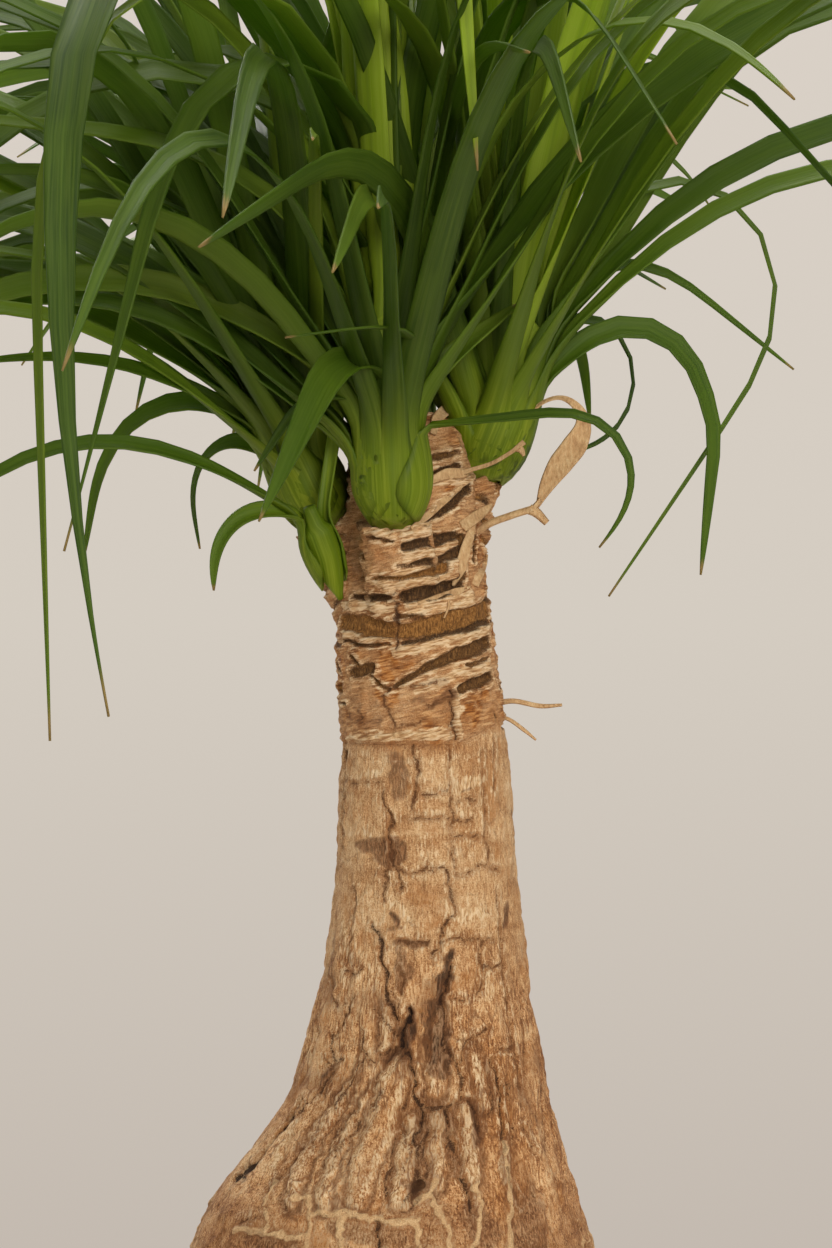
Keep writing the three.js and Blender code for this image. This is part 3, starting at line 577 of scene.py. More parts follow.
class Nodes:
    """A node tree under construction. Each method adds a node and gives back its output."""

    def __init__(self, tree):
        self.tree = tree

    def fill(self, socket, value):
        """Links a node's output to a socket, or sets the socket's own value."""
        if isinstance(value, bpy.types.NodeSocket):
            self.tree.links.new(value, socket)
        else:
            socket.default_value = value

    def node(self, kind, inputs=(), output=0, **settings):
        made = self.tree.nodes.new("ShaderNode" + kind)
        for name, value in settings.items():
            setattr(made, name, value)
        for key, value in dict(inputs).items():
            self.fill(made.inputs[key], value)
        return made.outputs[output]

    def math(self, operation, a, b=0.0, c=0.0):
        return self.node("Math", {0: a, 1: b, 2: c}, operation=operation)

    def times(self, a, b):
        return self.math("MULTIPLY", a, b)

    def plus(self, a, b):
        return self.math("ADD", a, b)

    def less(self, a, b):
        return self.math("SUBTRACT", a, b)

    def most(self, a, b):
        return self.math("MAXIMUM", a, b)

    def total(self, *terms, start=0.0):
        """The start and each value times its weight, added up."""
        for value, weight in terms:
            start = self.math("MULTIPLY_ADD", value, weight, start)
        return start

    def between(self, value, low, high, to_low=0.0, to_high=1.0):
        """Share of the way from low to high, smoothly."""
        return self.node("MapRange", {"Value": value, "From Min": low, "From Max": high, "To Min": to_low,
                                      "To Max": to_high}, interpolation_type="SMOOTHSTEP")

    def blend(self, share, *colours):
        """A share of the way between two colours, each a node's output or a display colour."""
        made = self.tree.nodes.new("ShaderNodeMix")
        made.data_type = "RGBA"
        self.fill(made.inputs[0], share)
        for key, value in zip((6, 7), colours):
            self.fill(made.inputs[key], colour(*value) if isinstance(value, tuple) else value)
        return made.outputs[2]

    def ramp(self, share, *stops):
        """A colour ramp from (place, display colour) pairs."""
        made = self.tree.nodes.new("ShaderNodeValToRGB")
        elements = made.color_ramp.elements
        while len(elements) < len(stops):
            elements.new(0.5)
        for element, (where, tint) in zip(elements, stops):
            element.position = where
            element.color = colour(*tint)
        self.tree.links.new(share, made.inputs[0])
        return made.outputs[0]


class Finish(Nodes):
    """A material under construction, for surfaces measured in mm."""

    def __init__(self, name):
        self.material = bpy.data.materials.new(name)
        self.material.use_nodes = True
        super().__init__(self.material.node_tree)
        self.shader = self.tree.nodes["Principled BSDF"]

    def value(self, name):
        """A number that the piece keeps for each vertex."""
        return self.node("Attribute", output="Fac", attribute_name=name)

    def place(self, stretch=(1, 1, 1), lean=0.0):
        """The object's own coordinates in mm, leaning up to the right and then stretched along each axis."""
        here = self.node("TexCoord", output="Object")
        turned = self.node("Mapping", {"Vector": here, "Scale": (1 / MM,) * 3, "Rotation": (0, lean, 0)})
        return self.node("Mapping", {"Vector": turned, "Scale": stretch})

    def noise(self, where, size, detail=4, roughness=0.55, twist=0):
        """Noise of 0 to 1 with lumps of a size in mm."""
        return self.node("TexNoise", {"Vector": where, "Scale": 1 / size, "Detail": detail,
                                      "Roughness": roughness, "Distortion": twist})

    def splits(self, stretch, size, gate, start, width):
        """Crack lines between cells of a size in mm, open where the gate noise is above its start."""
        where = self.place(stretch)
        stir = self.node("TexNoise", {"Vector": where, "Scale": 1.8 / size, "Detail": 2.0}, output="Color")
        warped = self.node("VectorMath", {0: stir, 1: (0.7 * size,) * 3, 2: where}, operation="MULTIPLY_ADD")
        edge = self.node("TexVoronoi", {"Vector": warped, "Scale": 1 / size}, output="Distance",
                         feature="DISTANCE_TO_EDGE")
        opening = self.between(gate, start, start + 0.16, -0.2, width)
        return self.between(self.less(self.times(edge, size), opening), 0.34, -0.12)

    def bump(self, height_mm, strength=1.0):
        return self.node("Bump", {"Height": height_mm, "Distance": MM, "Strength": strength})

    def wear(self, **sockets):
        """Sets the shader's own sockets, by name with _ for a space."""
        for name, value in sockets.items():
            self.fill(self.shader.inputs[name.replace("_", " ")], value)
        return self.material

    def share_with(self, share, other):
        """Mixes another shader into the material by a share."""
        both = self.node("MixShader", {0: share, 1: self.shader.outputs[0], 2: other})
        self.tree.links.new(both, self.tree.nodes["Material Output"].inputs["Surface"])
        return self.material


def bark_material():
    """Tan bark: papery layers and dark scars above, cracked blocks in the middle, cork and net below, with
    painted shade round cracks, net lines and plates and on the cork's right side, and painted highlights
    along the plates.
    """
    bark = Finish("ponytail palm bark")
    here = bark.place()
    upright = bark.noise(bark.place((1, 1, 0.16)), 0.6, 3, 0.62, 0.3)
    papery = bark.noise(bark.place((0.2, 0.2, 1.2), lean=0.2), 0.9, 3, 0.62, 0.5)
    grain = bark.noise(here, 0.42, 2, 0.7)
    lumps = bark.noise(here, 4.5, 4, 0.62, 0.5)
    blotches = bark.noise(bark.place((1, 1, 0.8)), 19, 4, 0.55, 0.6)
    fibre = bark.blend(bark.value("scarred"), upright, papery)
    bands = bark.noise(bark.place((0.1, 0.1, 1), lean=0.03), 4.5, 4, 0.6, 0.6)
    in_cork = bark.value("corky")
    shade = bark.total((fibre, 0.85), (bark.less(fibre, 0.5), bark.times(in_cork, 0.5)), (grain, 1.1),
                       (lumps, 0.55), (blotches, 0.5), (bands, 0.44), (bark.value("tone"), 0.05),
                       start=-1.195)
    tan = bark.ramp(shade, (0.16, (148, 101, 61)), (0.36, (183, 135, 88)), (0.5, (205, 160, 112)),
                    (0.64, (221, 181, 133)), (0.84, (238, 209, 167)))
    cork = bark.ramp(shade, (0.14, (98, 57, 32)), (0.34, (160, 107, 63)), (0.5, (200, 147, 96)),
                     (0.64, (224, 177, 125)), (0.84, (241, 208, 161)))
    surface = bark.blend(in_cork, tan, cork)
    orange_cast = bark.between(bark.noise(here, 13, 4, 0.6, 0.9), 0.5, 0.72, 0, 0.6)
    surface = bark.blend(orange_cast, surface, (178, 118, 62))
    grey_cast = bark.between(bark.noise(bark.place((1, 1, 0.6)), 10, 4, 0.6, 0.8), 0.58, 0.78, 0, 0.4)
    surface = bark.blend(grey_cast, surface, (160, 130, 102))
    rusty = bark.times(bark.value("rusty"), bark.between(lumps, 0.3, 0.6, 0.4, 1.0))
    surface = bark.blend(rusty, surface, bark.ramp(fibre, (0.38, (116, 66, 28)), (0.5, (164, 100, 44)),
                                                   (0.62, (206, 146, 84))))
    ragged = bark.total((lumps, 1.5), (grain, 1.3))
    soak = bark.less(bark.total((ragged, 0.7), (fibre, 1.6)), 1.78)
    # The pale value holds the bark's own pale strips, lips and worn places, and the painted highlight along
    # the caudex plates
    worn = bark.total((soak, 1.3), start=bark.value("pale"))
    pale = bark.times(bark.between(worn, 0.1, 0.8), bark.between(bark.value("pale"), 0.02, 0.3, 0, 0.92))
    surface = bark.blend(pale, surface, bark.ramp(fibre, (0.36, (166, 120, 76)), (0.47, (214, 172, 122)),
                                                  (0.6, (242, 214, 172))))
    # Stains, dark brown to charred, and the painted shade in the grooves round the caudex plates that the
    # same value holds
    edge = bark.total((soak, 0.55), start=bark.value("stain_and_shade"))
    stain_and_shade = bark.times(bark.between(edge, 0.1, 0.42), bark.total((bark.value("stain_and_shade"), 0.7), start=0.2))
    brown = bark.ramp(fibre, (0.38, (54, 30, 18)), (0.5, (94, 54, 31)), (0.62, (144, 92, 54)))
    charred = bark.ramp(fibre, (0.4, (32, 19, 13)), (0.5, (54, 31, 20)), (0.6, (104, 64, 39)))
    burnt = bark.between(bark.value("stain_and_shade"), 0.75, 0.98)
    surface = bark.blend(stain_and_shade, surface, bark.blend(burnt, brown, charred))

    gate = bark.noise(here, 8, 2, 0.6)
    long_split = bark.splits((1, 1, 0.15), 7, gate, 0.4, 0.1)
    hair_split = bark.splits((1, 1, 0.18), 2.8, gate, 0.5, 0.0)
    block_split = bark.splits((1, 1, 0.8), 12, gate, 0.47, 0.06)
    plain = bark.less(1.0, bark.most(in_cork, bark.value("scarred")))
    fine = bark.times(bark.most(long_split, bark.times(hair_split, 0.6)), in_cork)
    fine = bark.most(fine, bark.times(bark.times(block_split, plain), 0.6))
    fine = bark.times(fine, bark.between(bark.value("net"), -0.3, 0.8))
    surface = bark.blend(bark.times(fine, 0.75), surface, (122, 76, 42))

    fray = bark.less(ragged, 1.4)
    inside = bark.plus(bark.value("recess"), fray)
    sunk = bark.between(inside, 0.32, -0.3)
    threads = bark.noise(bark.place((1.7, 1.7, 0.4)), 0.75, 4, 0.7, 0.2)
    dark = bark.ramp(threads, (0.32, (38, 26, 16)), (0.47, (68, 47, 28)), (0.6, (102, 72, 42)),
                     (0.74, (150, 112, 70)))
    orange = bark.ramp(threads, (0.32, (86, 56, 28)), (0.46, (136, 90, 40)), (0.58, (178, 124, 62)),
                       (0.74, (206, 160, 98)))
    surface = bark.blend(sunk, surface, bark.blend(bark.value("rust"), dark, orange))
    split = bark.plus(bark.value("crack"), fray)
    cracked = bark.between(split, 0.08, -0.4, 0, 0.92)
    # Painted shade: a soft darker brown halo round each crack
    around = bark.between(split, 1.7, 0.0, 0, 0.36)
    surface = bark.blend(around, surface, (134, 88, 52))
    # Crack colour: the crack's own reddish brown, darkened towards near black as the crack is deeper, which
    # is painted shade
    gap = bark.ramp(bark.value("deep"), (0.0, (150, 98, 56)), (0.3, (118, 74, 42)),
                    (0.6, (76, 48, 30)), (1.0, (38, 25, 18)))
    surface = bark.blend(cracked, surface, gap)
    ridge = bark.plus(bark.value("net"), bark.less(ragged, 1.42))
    # Painted shadow: the bark darkened beside each raised net line
    surface = bark.blend(bark.between(ridge, 2.4, 0.3, 0, 0.35), surface, (128, 84, 52))
    net = bark.between(ridge, 0.36, -0.12, 0, bark.between(lumps, 0.36, 0.58, 0.6, 0.95))
    surface = bark.blend(net, surface, bark.ramp(grain, (0.35, (206, 160, 108)), (0.65, (242, 208, 158))))

    height = bark.total((grain, 0.7), (fibre, 0.9), (lumps, 1.1), (bands, 0.7), (cracked, -0.6), (sunk, -0.7),
                        (net, 0.5))
    return bark.wear(Base_Color=surface, Roughness=bark.between(grain, 0.3, 0.7, 0.74, 0.95),
                     Normal=bark.bump(height, 0.9), Specular_IOR_Level=0.25)


def leaf_material():
    """Strap leaves: lime where they wrap, deep green above, fine veins along them, a dry tip, and painted
    shade along the wrapped edges near the root.
    """
    leaf = Finish("ponytail palm leaf")
    root = leaf.value("from_root")
    across = leaf.value("across")
    tone = leaf.value("tone")
    along = leaf.node("CombineXYZ", {"X": across, "Y": leaf.times(root, 0.012),
                                     "Z": leaf.times(tone, 40)})
    veins = leaf.noise(along, 0.5, 3, 0.6, 0.0)
    broad = leaf.noise(along, 3.0, 2, 0.5, 0.0)
    patches = leaf.noise(leaf.place(), 26, 3, 0.5, 0.4)
    greens = leaf.ramp(leaf.total((patches, 0.4), (tone, 0.6)),
                       (0.18, (46, 68, 13)), (0.42, (72, 97, 19)), (0.66, (94, 118, 25)),
                       (0.9, (122, 140, 36)))
    young = leaf.ramp(leaf.total((broad, 0.4), (veins, 0.6)),
                      (0.3, (146, 174, 28)), (0.7, (192, 212, 66)))
    greens = leaf.blend(leaf.times(leaf.value("young"), 0.95), greens, young)
    limes = leaf.ramp(leaf.total((broad, 0.5), (veins, 0.5)),
                      (0.34, (92, 116, 12)), (0.5, (126, 146, 16)), (0.68, (176, 188, 44)))
    fresh = leaf.between(leaf.total((broad, 22), start=root), 66, 22)
    body = leaf.blend(fresh, greens, limes)
    streak = leaf.between(veins, 0.36, 0.64, 0.0, 0.45)
    body = leaf.blend(streak, body, leaf.blend(0.45, body, (140, 160, 60)))
    rib = leaf.between(leaf.math("ABSOLUTE", across), 1.0, 0.1, 0, 0.3)
    body = leaf.blend(rib, body, (96, 120, 36))
    # Painted shade: leaf edges darkened near the root, where they tuck under the next wrap
    wrap_edge_shade = leaf.times(leaf.between(leaf.value("edge"), 0.7, 1.0), leaf.between(root, 60, 20, 0, 0.5))
    body = leaf.blend(wrap_edge_shade, body, (56, 78, 10))
    pale_foot = leaf.between(root, 5, 0, 0, 0.6)
    body = leaf.blend(pale_foot, body, (176, 190, 84))
    scorched = leaf.between(leaf.total((veins, 0.03), start=leaf.value("share")), 0.98, 1.005)
    body = leaf.blend(scorched, body, (164, 132, 82))
    specks = leaf.between(leaf.noise(leaf.place(), 1.6, 2, 0.5), 0.76, 0.8, 0, 0.3)
    body = leaf.blend(specks, body, (140, 138, 70))
    leaf.wear(Base_Color=body, Roughness=leaf.between(broad, 0.3, 0.7, 0.44, 0.6), Specular_IOR_Level=0.27,
              Normal=leaf.bump(leaf.total((broad, 0.3), (veins, 0.3)), 0.6))
    sunlit = leaf.blend(0.7, body, (138, 176, 10))
    return leaf.share_with(0.45, leaf.node("BsdfTranslucent", {"Color": sunlit}))


def straw_material():
    """Dead leaf, twig and fibres: dry straw with darker lines along them."""
    straw = Finish("dry palm straw")
    along = straw.noise(straw.place((1.4, 1.4, 0.5)), 1.2, 5, 0.65, 0.3)
    mottle = straw.noise(straw.place(), 7, 4, 0.6, 0.5)
    tint = straw.ramp(straw.total((mottle, 0.4), (along, 0.6)), (0.3, (162, 118, 74)),
                      (0.48, (212, 172, 122)), (0.62, (232, 200, 150)), (0.8, (244, 224, 184)))
    freckles = straw.between(straw.noise(straw.place(), 1.0, 3, 0.6), 0.7, 0.78, 0, 0.5)
    tint = straw.blend(freckles, tint, (110, 76, 50))
    straw.wear(Base_Color=tint, Roughness=straw.between(mottle, 0.3, 0.7, 0.6, 0.85), Specular_IOR_Level=0.3,
               Normal=straw.bump(straw.times(along, 0.8), 0.7))
    return straw.share_with(0.25, straw.node("BsdfTranslucent", {"Color": tint}))


def clay_material():
    """Fired clay: soft mottling, turning lines, lime bloom and a damp foot."""
    clay = Finish("terracotta")
    rings = clay.noise(clay.place((0.02, 0.02, 1)), 1.6, 4, 0.6, 0.1)
    sand = clay.noise(clay.place(), 0.7, 6, 0.7)
    cloud = clay.noise(clay.place((1, 1, 1.6)), 34, 5, 0.6, 0.6)
    tint = clay.ramp(clay.total((rings, 0.25), (cloud, 0.6), (sand, 0.15)), (0.3, (142, 78, 50)),
                     (0.5, (178, 106, 72)), (0.7, (198, 128, 92)))
    bloom = clay.between(clay.noise(clay.place((1, 1, 0.7)), 16, 6, 0.66, 0.9), 0.56, 0.78, 0, 0.5)
    tint = clay.blend(bloom, tint, (214, 178, 152))
    pits = clay.between(clay.noise(clay.place(), 1.5, 3, 0.5), 0.7, 0.76, 0, 0.55)
    tint = clay.blend(pits, tint, (112, 62, 42))
    height = clay.total((sand, 0.3), (rings, 0.35), (pits, -0.3))
    return clay.wear(Base_Color=tint, Roughness=clay.between(sand, 0.3, 0.7, 0.78, 0.95),
                     Specular_IOR_Level=0.3, Normal=clay.bump(height, 0.7))


def soil_material():
    """Damp potting mix: dark crumbs with paler fibre."""
    soil = Finish("potting mix")
    crumbs = soil.noise(soil.place(), 2.2, 8, 0.7, 0.6)
    lumps = soil.noise(soil.place(), 9, 4, 0.6)
    tint = soil.ramp(crumbs, (0.3, (30, 21, 15)), (0.48, (62, 45, 32)), (0.64, (96, 72, 50)),
                     (0.8, (142, 112, 80)))
    tint = soil.blend(soil.between(lumps, 0.4, 0.7, 0, 0.5), tint, (48, 34, 24))
    height = soil.total((lumps, 1.5), (crumbs, 3.0))
    return soil.wear(Base_Color=tint, Roughness=0.95, Specular_IOR_Level=0.25, Normal=soil.bump(height, 1.0))


def crumb_material(name, dark, middle, pale, size):
    """Bark chips and white grit lying on the soil."""
    crumb = Finish(name)
    grain = crumb.noise(crumb.place(), size, 6, 0.65, 0.4)
    tint = crumb.ramp(grain, (0.3, dark), (0.5, middle), (0.7, pale))
    return crumb.wear(Base_Color=tint, Roughness=crumb.between(grain, 0.3, 0.7, 0.8, 0.95),
                      Specular_IOR_Level=0.3, Normal=crumb.bump(crumb.times(grain, 1.2), 0.8))


# Trunk

def curve(t, span, start, end, slope_start, slope_end):
    """A smooth curve from start to end, t of the way over a span, with its slopes at both."""
    return ((2 * t**3 - 3 * t**2 + 1) * start + (t**3 - 2 * t**2 + t) * span * slope_start
            + (3 * t**2 - 2 * t**3) * end + (t**3 - t**2) * span * slope_end)


def trunk_section(height):
    """Radius and sideways place of the trunk at a height, as a smooth curve through its outline."""
    z = np.asarray(height, float)
    last = len(TRUNK_OUTLINE) - 1
    k = np.clip(np.searchsorted(TRUNK_OUTLINE[:, 0], z, side="right") - 1, 0, last - 1)
    before, here, after, beyond = (TRUNK_OUTLINE[np.clip(k + i, 0, last)] for i in (-1, 0, 1, 2))
    span = after[..., 0] - here[..., 0]
    t = (z - here[..., 0]) / span
    found = []
    for c in (1, 2):
        slope_here = (after[..., c] - before[..., c]) / (after[..., 0] - before[..., 0])
        slope_after = (beyond[..., c] - here[..., c]) / (beyond[..., 0] - here[..., 0])
        found.append(curve(t, span, here[..., c], after[..., c], slope_here, slope_after))
    return found


def seen_place(across, down):
    """Angle and height where the camera's line of sight meets the trunk's front. The line is given by how far
    it runs to the right and down for each mm away from the camera."""
    y = np.full(np.shape(across), -float(TRUNK_FRONT))
    for _ in range(SIGHT_STEPS):
        x = CAMERA_X + across * (CAMERA_AWAY + y)
        z = CAMERA_HEIGHT - down * (CAMERA_AWAY + y)
        radius, shift = trunk_section(np.clip(z, *SEEN_HEIGHTS))
        side = np.clip((x - shift) / radius, -SIGHT_EDGE, SIGHT_EDGE)
        y = -radius * np.sqrt(1 - side * side)
    return np.arcsin(side), z


def front_place(pixel):
    """Where a pixel of the photograph meets the trunk's front: mm round from the front line, and height."""
    angle, z = seen_place((pixel[0] - PHOTO_WIDTH / 2) * PIXEL_MM / CAMERA_AWAY,
                          (pixel[1] - PHOTO_HEIGHT / 2) * PIXEL_MM / CAMERA_AWAY)
    return float(angle * trunk_section(z)[0]), float(z)


def front_line(points, widths):
    """A line of pixels as [mm round, height, half width in mm] rows on the bark, with its widths in pixels,
    one for all points or one for each."""
    widths = np.broadcast_to(widths, len(points))
    return [[*front_place(p), w * MARK_PIXEL_MM / 2] for p, w in zip(points, widths)]


def line_distance(lines, arc, height, radius):
    """Distance of each point of the bark from the edge of the nearest line, in mm and below 0 inside it,
    and that line's number."""
    best = np.full(len(arc), FAR_FROM_MARKS)
    number = np.zeros(len(arc), int)
    for n, line in enumerate(lines):
        for (a0, z0, h0), (a1, z1, h1) in zip(line, line[1:]):
            near = np.flatnonzero(np.abs(height - (z0 + z1) / 2) < abs(z1 - z0) / 2 + MARK_REACH)
            round_half = math.pi * radius[near]
            off = (arc[near] - a0 + round_half) % (2 * round_half) - round_half
            da, dz = a1 - a0, z1 - z0
            along = np.clip((off * da + (height[near] - z0) * dz) / (da * da + dz * dz + 1e-9), 0, 1)
            gap = np.hypot(off - along * da, height[near] - z0 - along * dz) - h0 - along * (h1 - h0)
            closer = near[gap < best[near]]
            best[closer] = gap[gap < best[near]]
            number[closer] = n
    return best, number


def nearest_mark(table, arc, height, radius):
    """Distance of each point of the bark from the nearest mark of a table, and the last number of its row,
    which is how deep or high the mark is in mm."""
    lines = [front_line(points, widths) for points, widths, *_ in table]
    gap, number = line_distance(lines, arc, height, radius)
    return gap, np.array([row[-1] for row in table])[number]


def spots(places, arc, height):
    """The strongest of some oval spots at each point, each 0 outside and its own strength within."""
    best = np.zeros(len(arc))
    for centre, (wide, tall), strength in places:
        a, z = front_place(centre)
        reach = np.hypot((arc - a) / (wide * MARK_PIXEL_MM), (height - z) / (tall * MARK_PIXEL_MM))
        best = np.maximum(best, strength * (1 - ease((reach - 0.55) / 0.75)))
    return best


def marks(places, arc, height, radius):
    """The strongest of some marks at each point, each 0 outside and its own strength within."""
    best = np.zeros(len(arc))
    for points, widths, strength in places:
        gap, _ = line_distance([front_line(points, widths)], arc, height, radius)
        best = np.maximum(best, strength * (1 - ease((gap + 0.8) / 1.3)))
    return best


def plates(angle, height, radius, wide, tall, seed):
    """Bark plates of about wide x tall mm: distance from each point to its plate's edge in mm, and a number
    of 0 to 1 for its plate."""
    draw = np.random.default_rng(seed)
    row = np.floor(height / tall).astype(int)
    low, high = row.min() - 2, row.max() + 3
    middles = (np.arange(low, high) + 0.5) * tall
    counts = np.maximum(6, np.round(2 * math.pi * trunk_section(middles)[0] / wide)).astype(int)
    jitter = draw.uniform(-0.38, 0.38, (high - low, counts.max(), 2))
    own = draw.uniform(0, 1, (high - low, counts.max()))
    nearest = np.full(len(angle), 1e9)
    second = np.full(len(angle), 1e9)
    number = np.zeros(len(angle))
    for step in (-1, 0, 1):
        r = row + step - low
        count = counts[r]
        index = np.floor((angle / (2 * math.pi) + 0.5) * count).astype(int)
        for side in (-2, -1, 0, 1, 2):
            i = (index + side) % count
            at = ((i + 0.5 + 0.5 * ((r + low) % 2) + jitter[r, i, 0]) / count - 0.5) * 2 * math.pi
            turn = (angle - at + math.pi) % (2 * math.pi) - math.pi
            gap = np.hypot(turn * radius, (height - (r + low + 0.5 + jitter[r, i, 1]) * tall) * wide / tall)
            closer = gap < nearest
            second = np.where(closer, nearest, np.minimum(second, gap))
            number = np.where(closer, own[r, i], number)
            nearest = np.where(closer, gap, nearest)
    return (second - nearest) / 2, number


def ring_slant(angle):
    """How far a leaf-scar ring climbs as it goes round: lowest near the front, and high on the right."""
    return 4.2 * (1 - np.cos(angle + 0.12)) + 2.4 * np.sin(angle) + 1.1 * np.sin(2 * angle + 0.5)


def seeded_scars():
    """Leaf scars on the sides and back: line on the bark, depth and rust of each."""
    draw = np.random.default_rng(SCAR_SEED)
    scars = []
    for ring in range(SCAR_RINGS):
        middle = SCAR_LINE + 3 + ring * RING_STEP
        radius = float(trunk_section(min(middle, SCARS_TOP))[0])
        turn = SCARS_START + draw.uniform(0, 0.3)
        while turn < 2 * math.pi - SCARS_START:
            span = draw.uniform(0.3, 0.95)
            turns = np.linspace(turn, min(turn + span, SCARS_END), 4)
            if draw.uniform() < 0.72:
                thick = draw.uniform(0.5, 2.1)
                rise = ring_slant(turns - 2 * math.pi * (turns > math.pi)) + draw.uniform(-1, 1)
                tilt = draw.uniform(-1.5, 1.5)
                line = [[t * radius, middle + up + tilt * k / 3, thick * w] for t, up, k, w
                        in zip(turns, rise, range(4), (0.4, 1, 0.9, 0.5))]
                scars.append((line, draw.uniform(0.9, 2.3), draw.uniform(0, 1) ** 1.3))
            turn += span + draw.uniform(0.05, 0.4)
    return scars


def groove_line(angle):
    """Height of the groove that runs round the trunk where the scarred part begins."""
    seen = [front_place(pixel) for pixel in GROOVE_PIXELS]
    front = [(arc / float(trunk_section(z)[0]), z) for arc, z in seen]
    return np.interp(angle, *zip(*GROOVE_LEFT, *front, *GROOVE_RIGHT))


def bark_relief(angle, height, radius, centre):
    """How far the bark stands out at each point, in mm, and the values that its material reads."""
    place = np.column_stack([centre + radius * np.sin(angle), -radius * np.cos(angle), height])
    sway = waves(place, 12, 1)
    ripple = waves(place, 4, 2)
    crumble = waves(place, 1.9, 3)
    bulge = waves(place, 30, 4)
    fray = waves(place, 5, 6)
    opening = waves(place, 12, 9)
    bent = angle + (1.9 * sway + 0.6 * ripple + 0.2 * crumble) / radius
    lifted = height + 3.2 * waves(place, 15, 5) + 0.5 * crumble
    arc = angle * radius
    bent_arc = arc + 0.35 * ripple + 0.2 * crumble
    bent_height = height + 0.35 * fray + 0.2 * crumble
    torn_arc = arc + 0.8 * ripple + 0.5 * crumble
    frayed_arc = arc + 0.5 * ripple + 0.6 * crumble
    frayed_height = height + 0.6 * fray + 0.5 * crumble
    torn_height = height + 0.7 * fray - 0.4 * crumble

    groove = groove_line(angle)
    scarred = ease((height - groove + 2) / 4)
    zone = height + 7 * waves(place, 27, 7) + 3 * sway
    above_net = ease((zone - NET_TOP) / NET_FADE)
    above_cork = ease((zone - CORK_TOP) / CORK_FADE)
    netted = 1 - above_net
    corky = above_net * (1 - above_cork)
    blocky = above_cork * (1 - scarred)
    showing = ease((height - SOIL_LINE + 4) / 10)
    front = ease((FRONT_ANGLE - np.abs(angle)) / FRONT_FADE)

    net_gap, net_plate = plates(bent + 1.6 * sway / radius, lifted + 2 * ripple, radius, *NET_PLATE, NET_SEED)
    cork_gap, cork_plate = plates(bent, lifted, radius, *CORK_PLATE, CORK_SEED)
    block_gap, block_plate = plates(bent, lifted, radius, *BLOCK_PLATE, BLOCK_SEED)
    cork_split = cork_gap - 0.1 - 0.4 * opening + 0.35 * front
    block_split = block_gap - 0.1 - 0.5 * opening + 1.4 * front
    ring_split = np.abs(height - groove + 0.4 * ripple) + 0.1 - 0.4 * fray

    scars = [(front_line(points, heights), depth, rust) for points, heights, depth, rust in FRONT_SCARS]
    lines, depths, rusts = zip(*scars, *seeded_scars())
    recess, scar = line_distance(lines, bent_arc, bent_height, radius)
    depth, rust = np.array(depths)[scar], np.array(rusts)[scar]
    strip_gap, strip_height = nearest_mark(FRONT_STRIPS, torn_arc, torn_height, radius)
    crack_gap, crack_depth = nearest_mark(FRONT_CRACKS, torn_arc, torn_height, radius)
    front_net, _ = nearest_mark(FRONT_NET, frayed_arc, frayed_height, radius)
    facing = np.abs(angle) < FACING_ANGLE
    hollow = spots(FRONT_HOLLOWS, bent_arc, bent_height) * facing
    stain_and_shade = marks(FRONT_STAINS, torn_arc, torn_height, radius)
    pale = marks(FRONT_PALE_PATCHES, torn_arc, torn_height, radius)
    rusty = spots(FRONT_RUST, torn_arc, torn_height) * facing
    plate_gap, plate_height = nearest_mark(FRONT_PLATES, torn_arc, torn_height, radius)
    plate_edge = np.abs(plate_gap) + 0.1 - 0.4 * opening - 0.2 * fray
    # Painted highlight: a pale band just inside the edge of each caudex plate, where light would catch its
    # crest
    crest_highlight = np.exp(-((plate_gap + 2.2) / 1.1) ** 2)
    net_line = net_gap - 0.5 - 0.25 * ripple + 6 * (1 - netted)

    layer = ((height - ring_slant(angle) + 0.8 * sway) / 3.1 + 0.35 * fray) % 1
    ledges = scarred * (0.4 * (0.5 - layer) * ease(layer / 0.15) + 0.2 * ripple)
    valley = corky * np.exp(-np.maximum(cork_split + 0.4, 0) / 0.8)

    out = 0.9 * bulge * showing * (1 - 0.6 * scarred)
    out += 0.3 * ripple + 0.2 * crumble
    out += corky * (0.8 * (1 - np.exp(-cork_gap / 2.4)) + 0.5 * (cork_plate - 0.5) + 0.4 * sway - 0.4)
    out -= (1.2 - 0.7 * front) * valley
    out += blocky * (0.35 * (block_plate - 0.5) - 0.4 * np.exp(-np.maximum(block_split + 0.3, 0) / 0.5))
    out += netted * (0.7 * (1 - ease((net_line + 0.5) / 1.0)) + 0.3 * (net_plate - 0.5))
    out -= 0.35 * np.exp(-np.maximum(ring_split, 0) / 0.7)
    out += ledges
    out -= depth * (1 - ease((recess + 0.9) / 1.1)) * (recess < 0.4)
    lip = ease((recess + 0.1) / 0.5) * (1 - ease((recess - 0.9) / 1.1)) * scarred
    out += 0.55 * lip
    out += strip_height * (1 - ease((strip_gap + 0.6) / 0.9))
    out -= 0.6 * crack_depth * (1 - ease((crack_gap + 0.4) / 0.9))
    edge = ease((crack_gap - 0.2) / 0.7) * (1 - ease((crack_gap - 1.0) / 1.6)) * (1 - scarred)
    out += 0.3 * edge
    out += 1.25 * plate_height * ease(-plate_gap / 3.2) - 0.6 * np.exp(-((plate_gap - 0.2) / 0.8) ** 2)
    out += 0.9 * (1 - ease((front_net + 0.6) / 1.0)) * front
    out -= hollow * (1 + 0.2 * ripple)

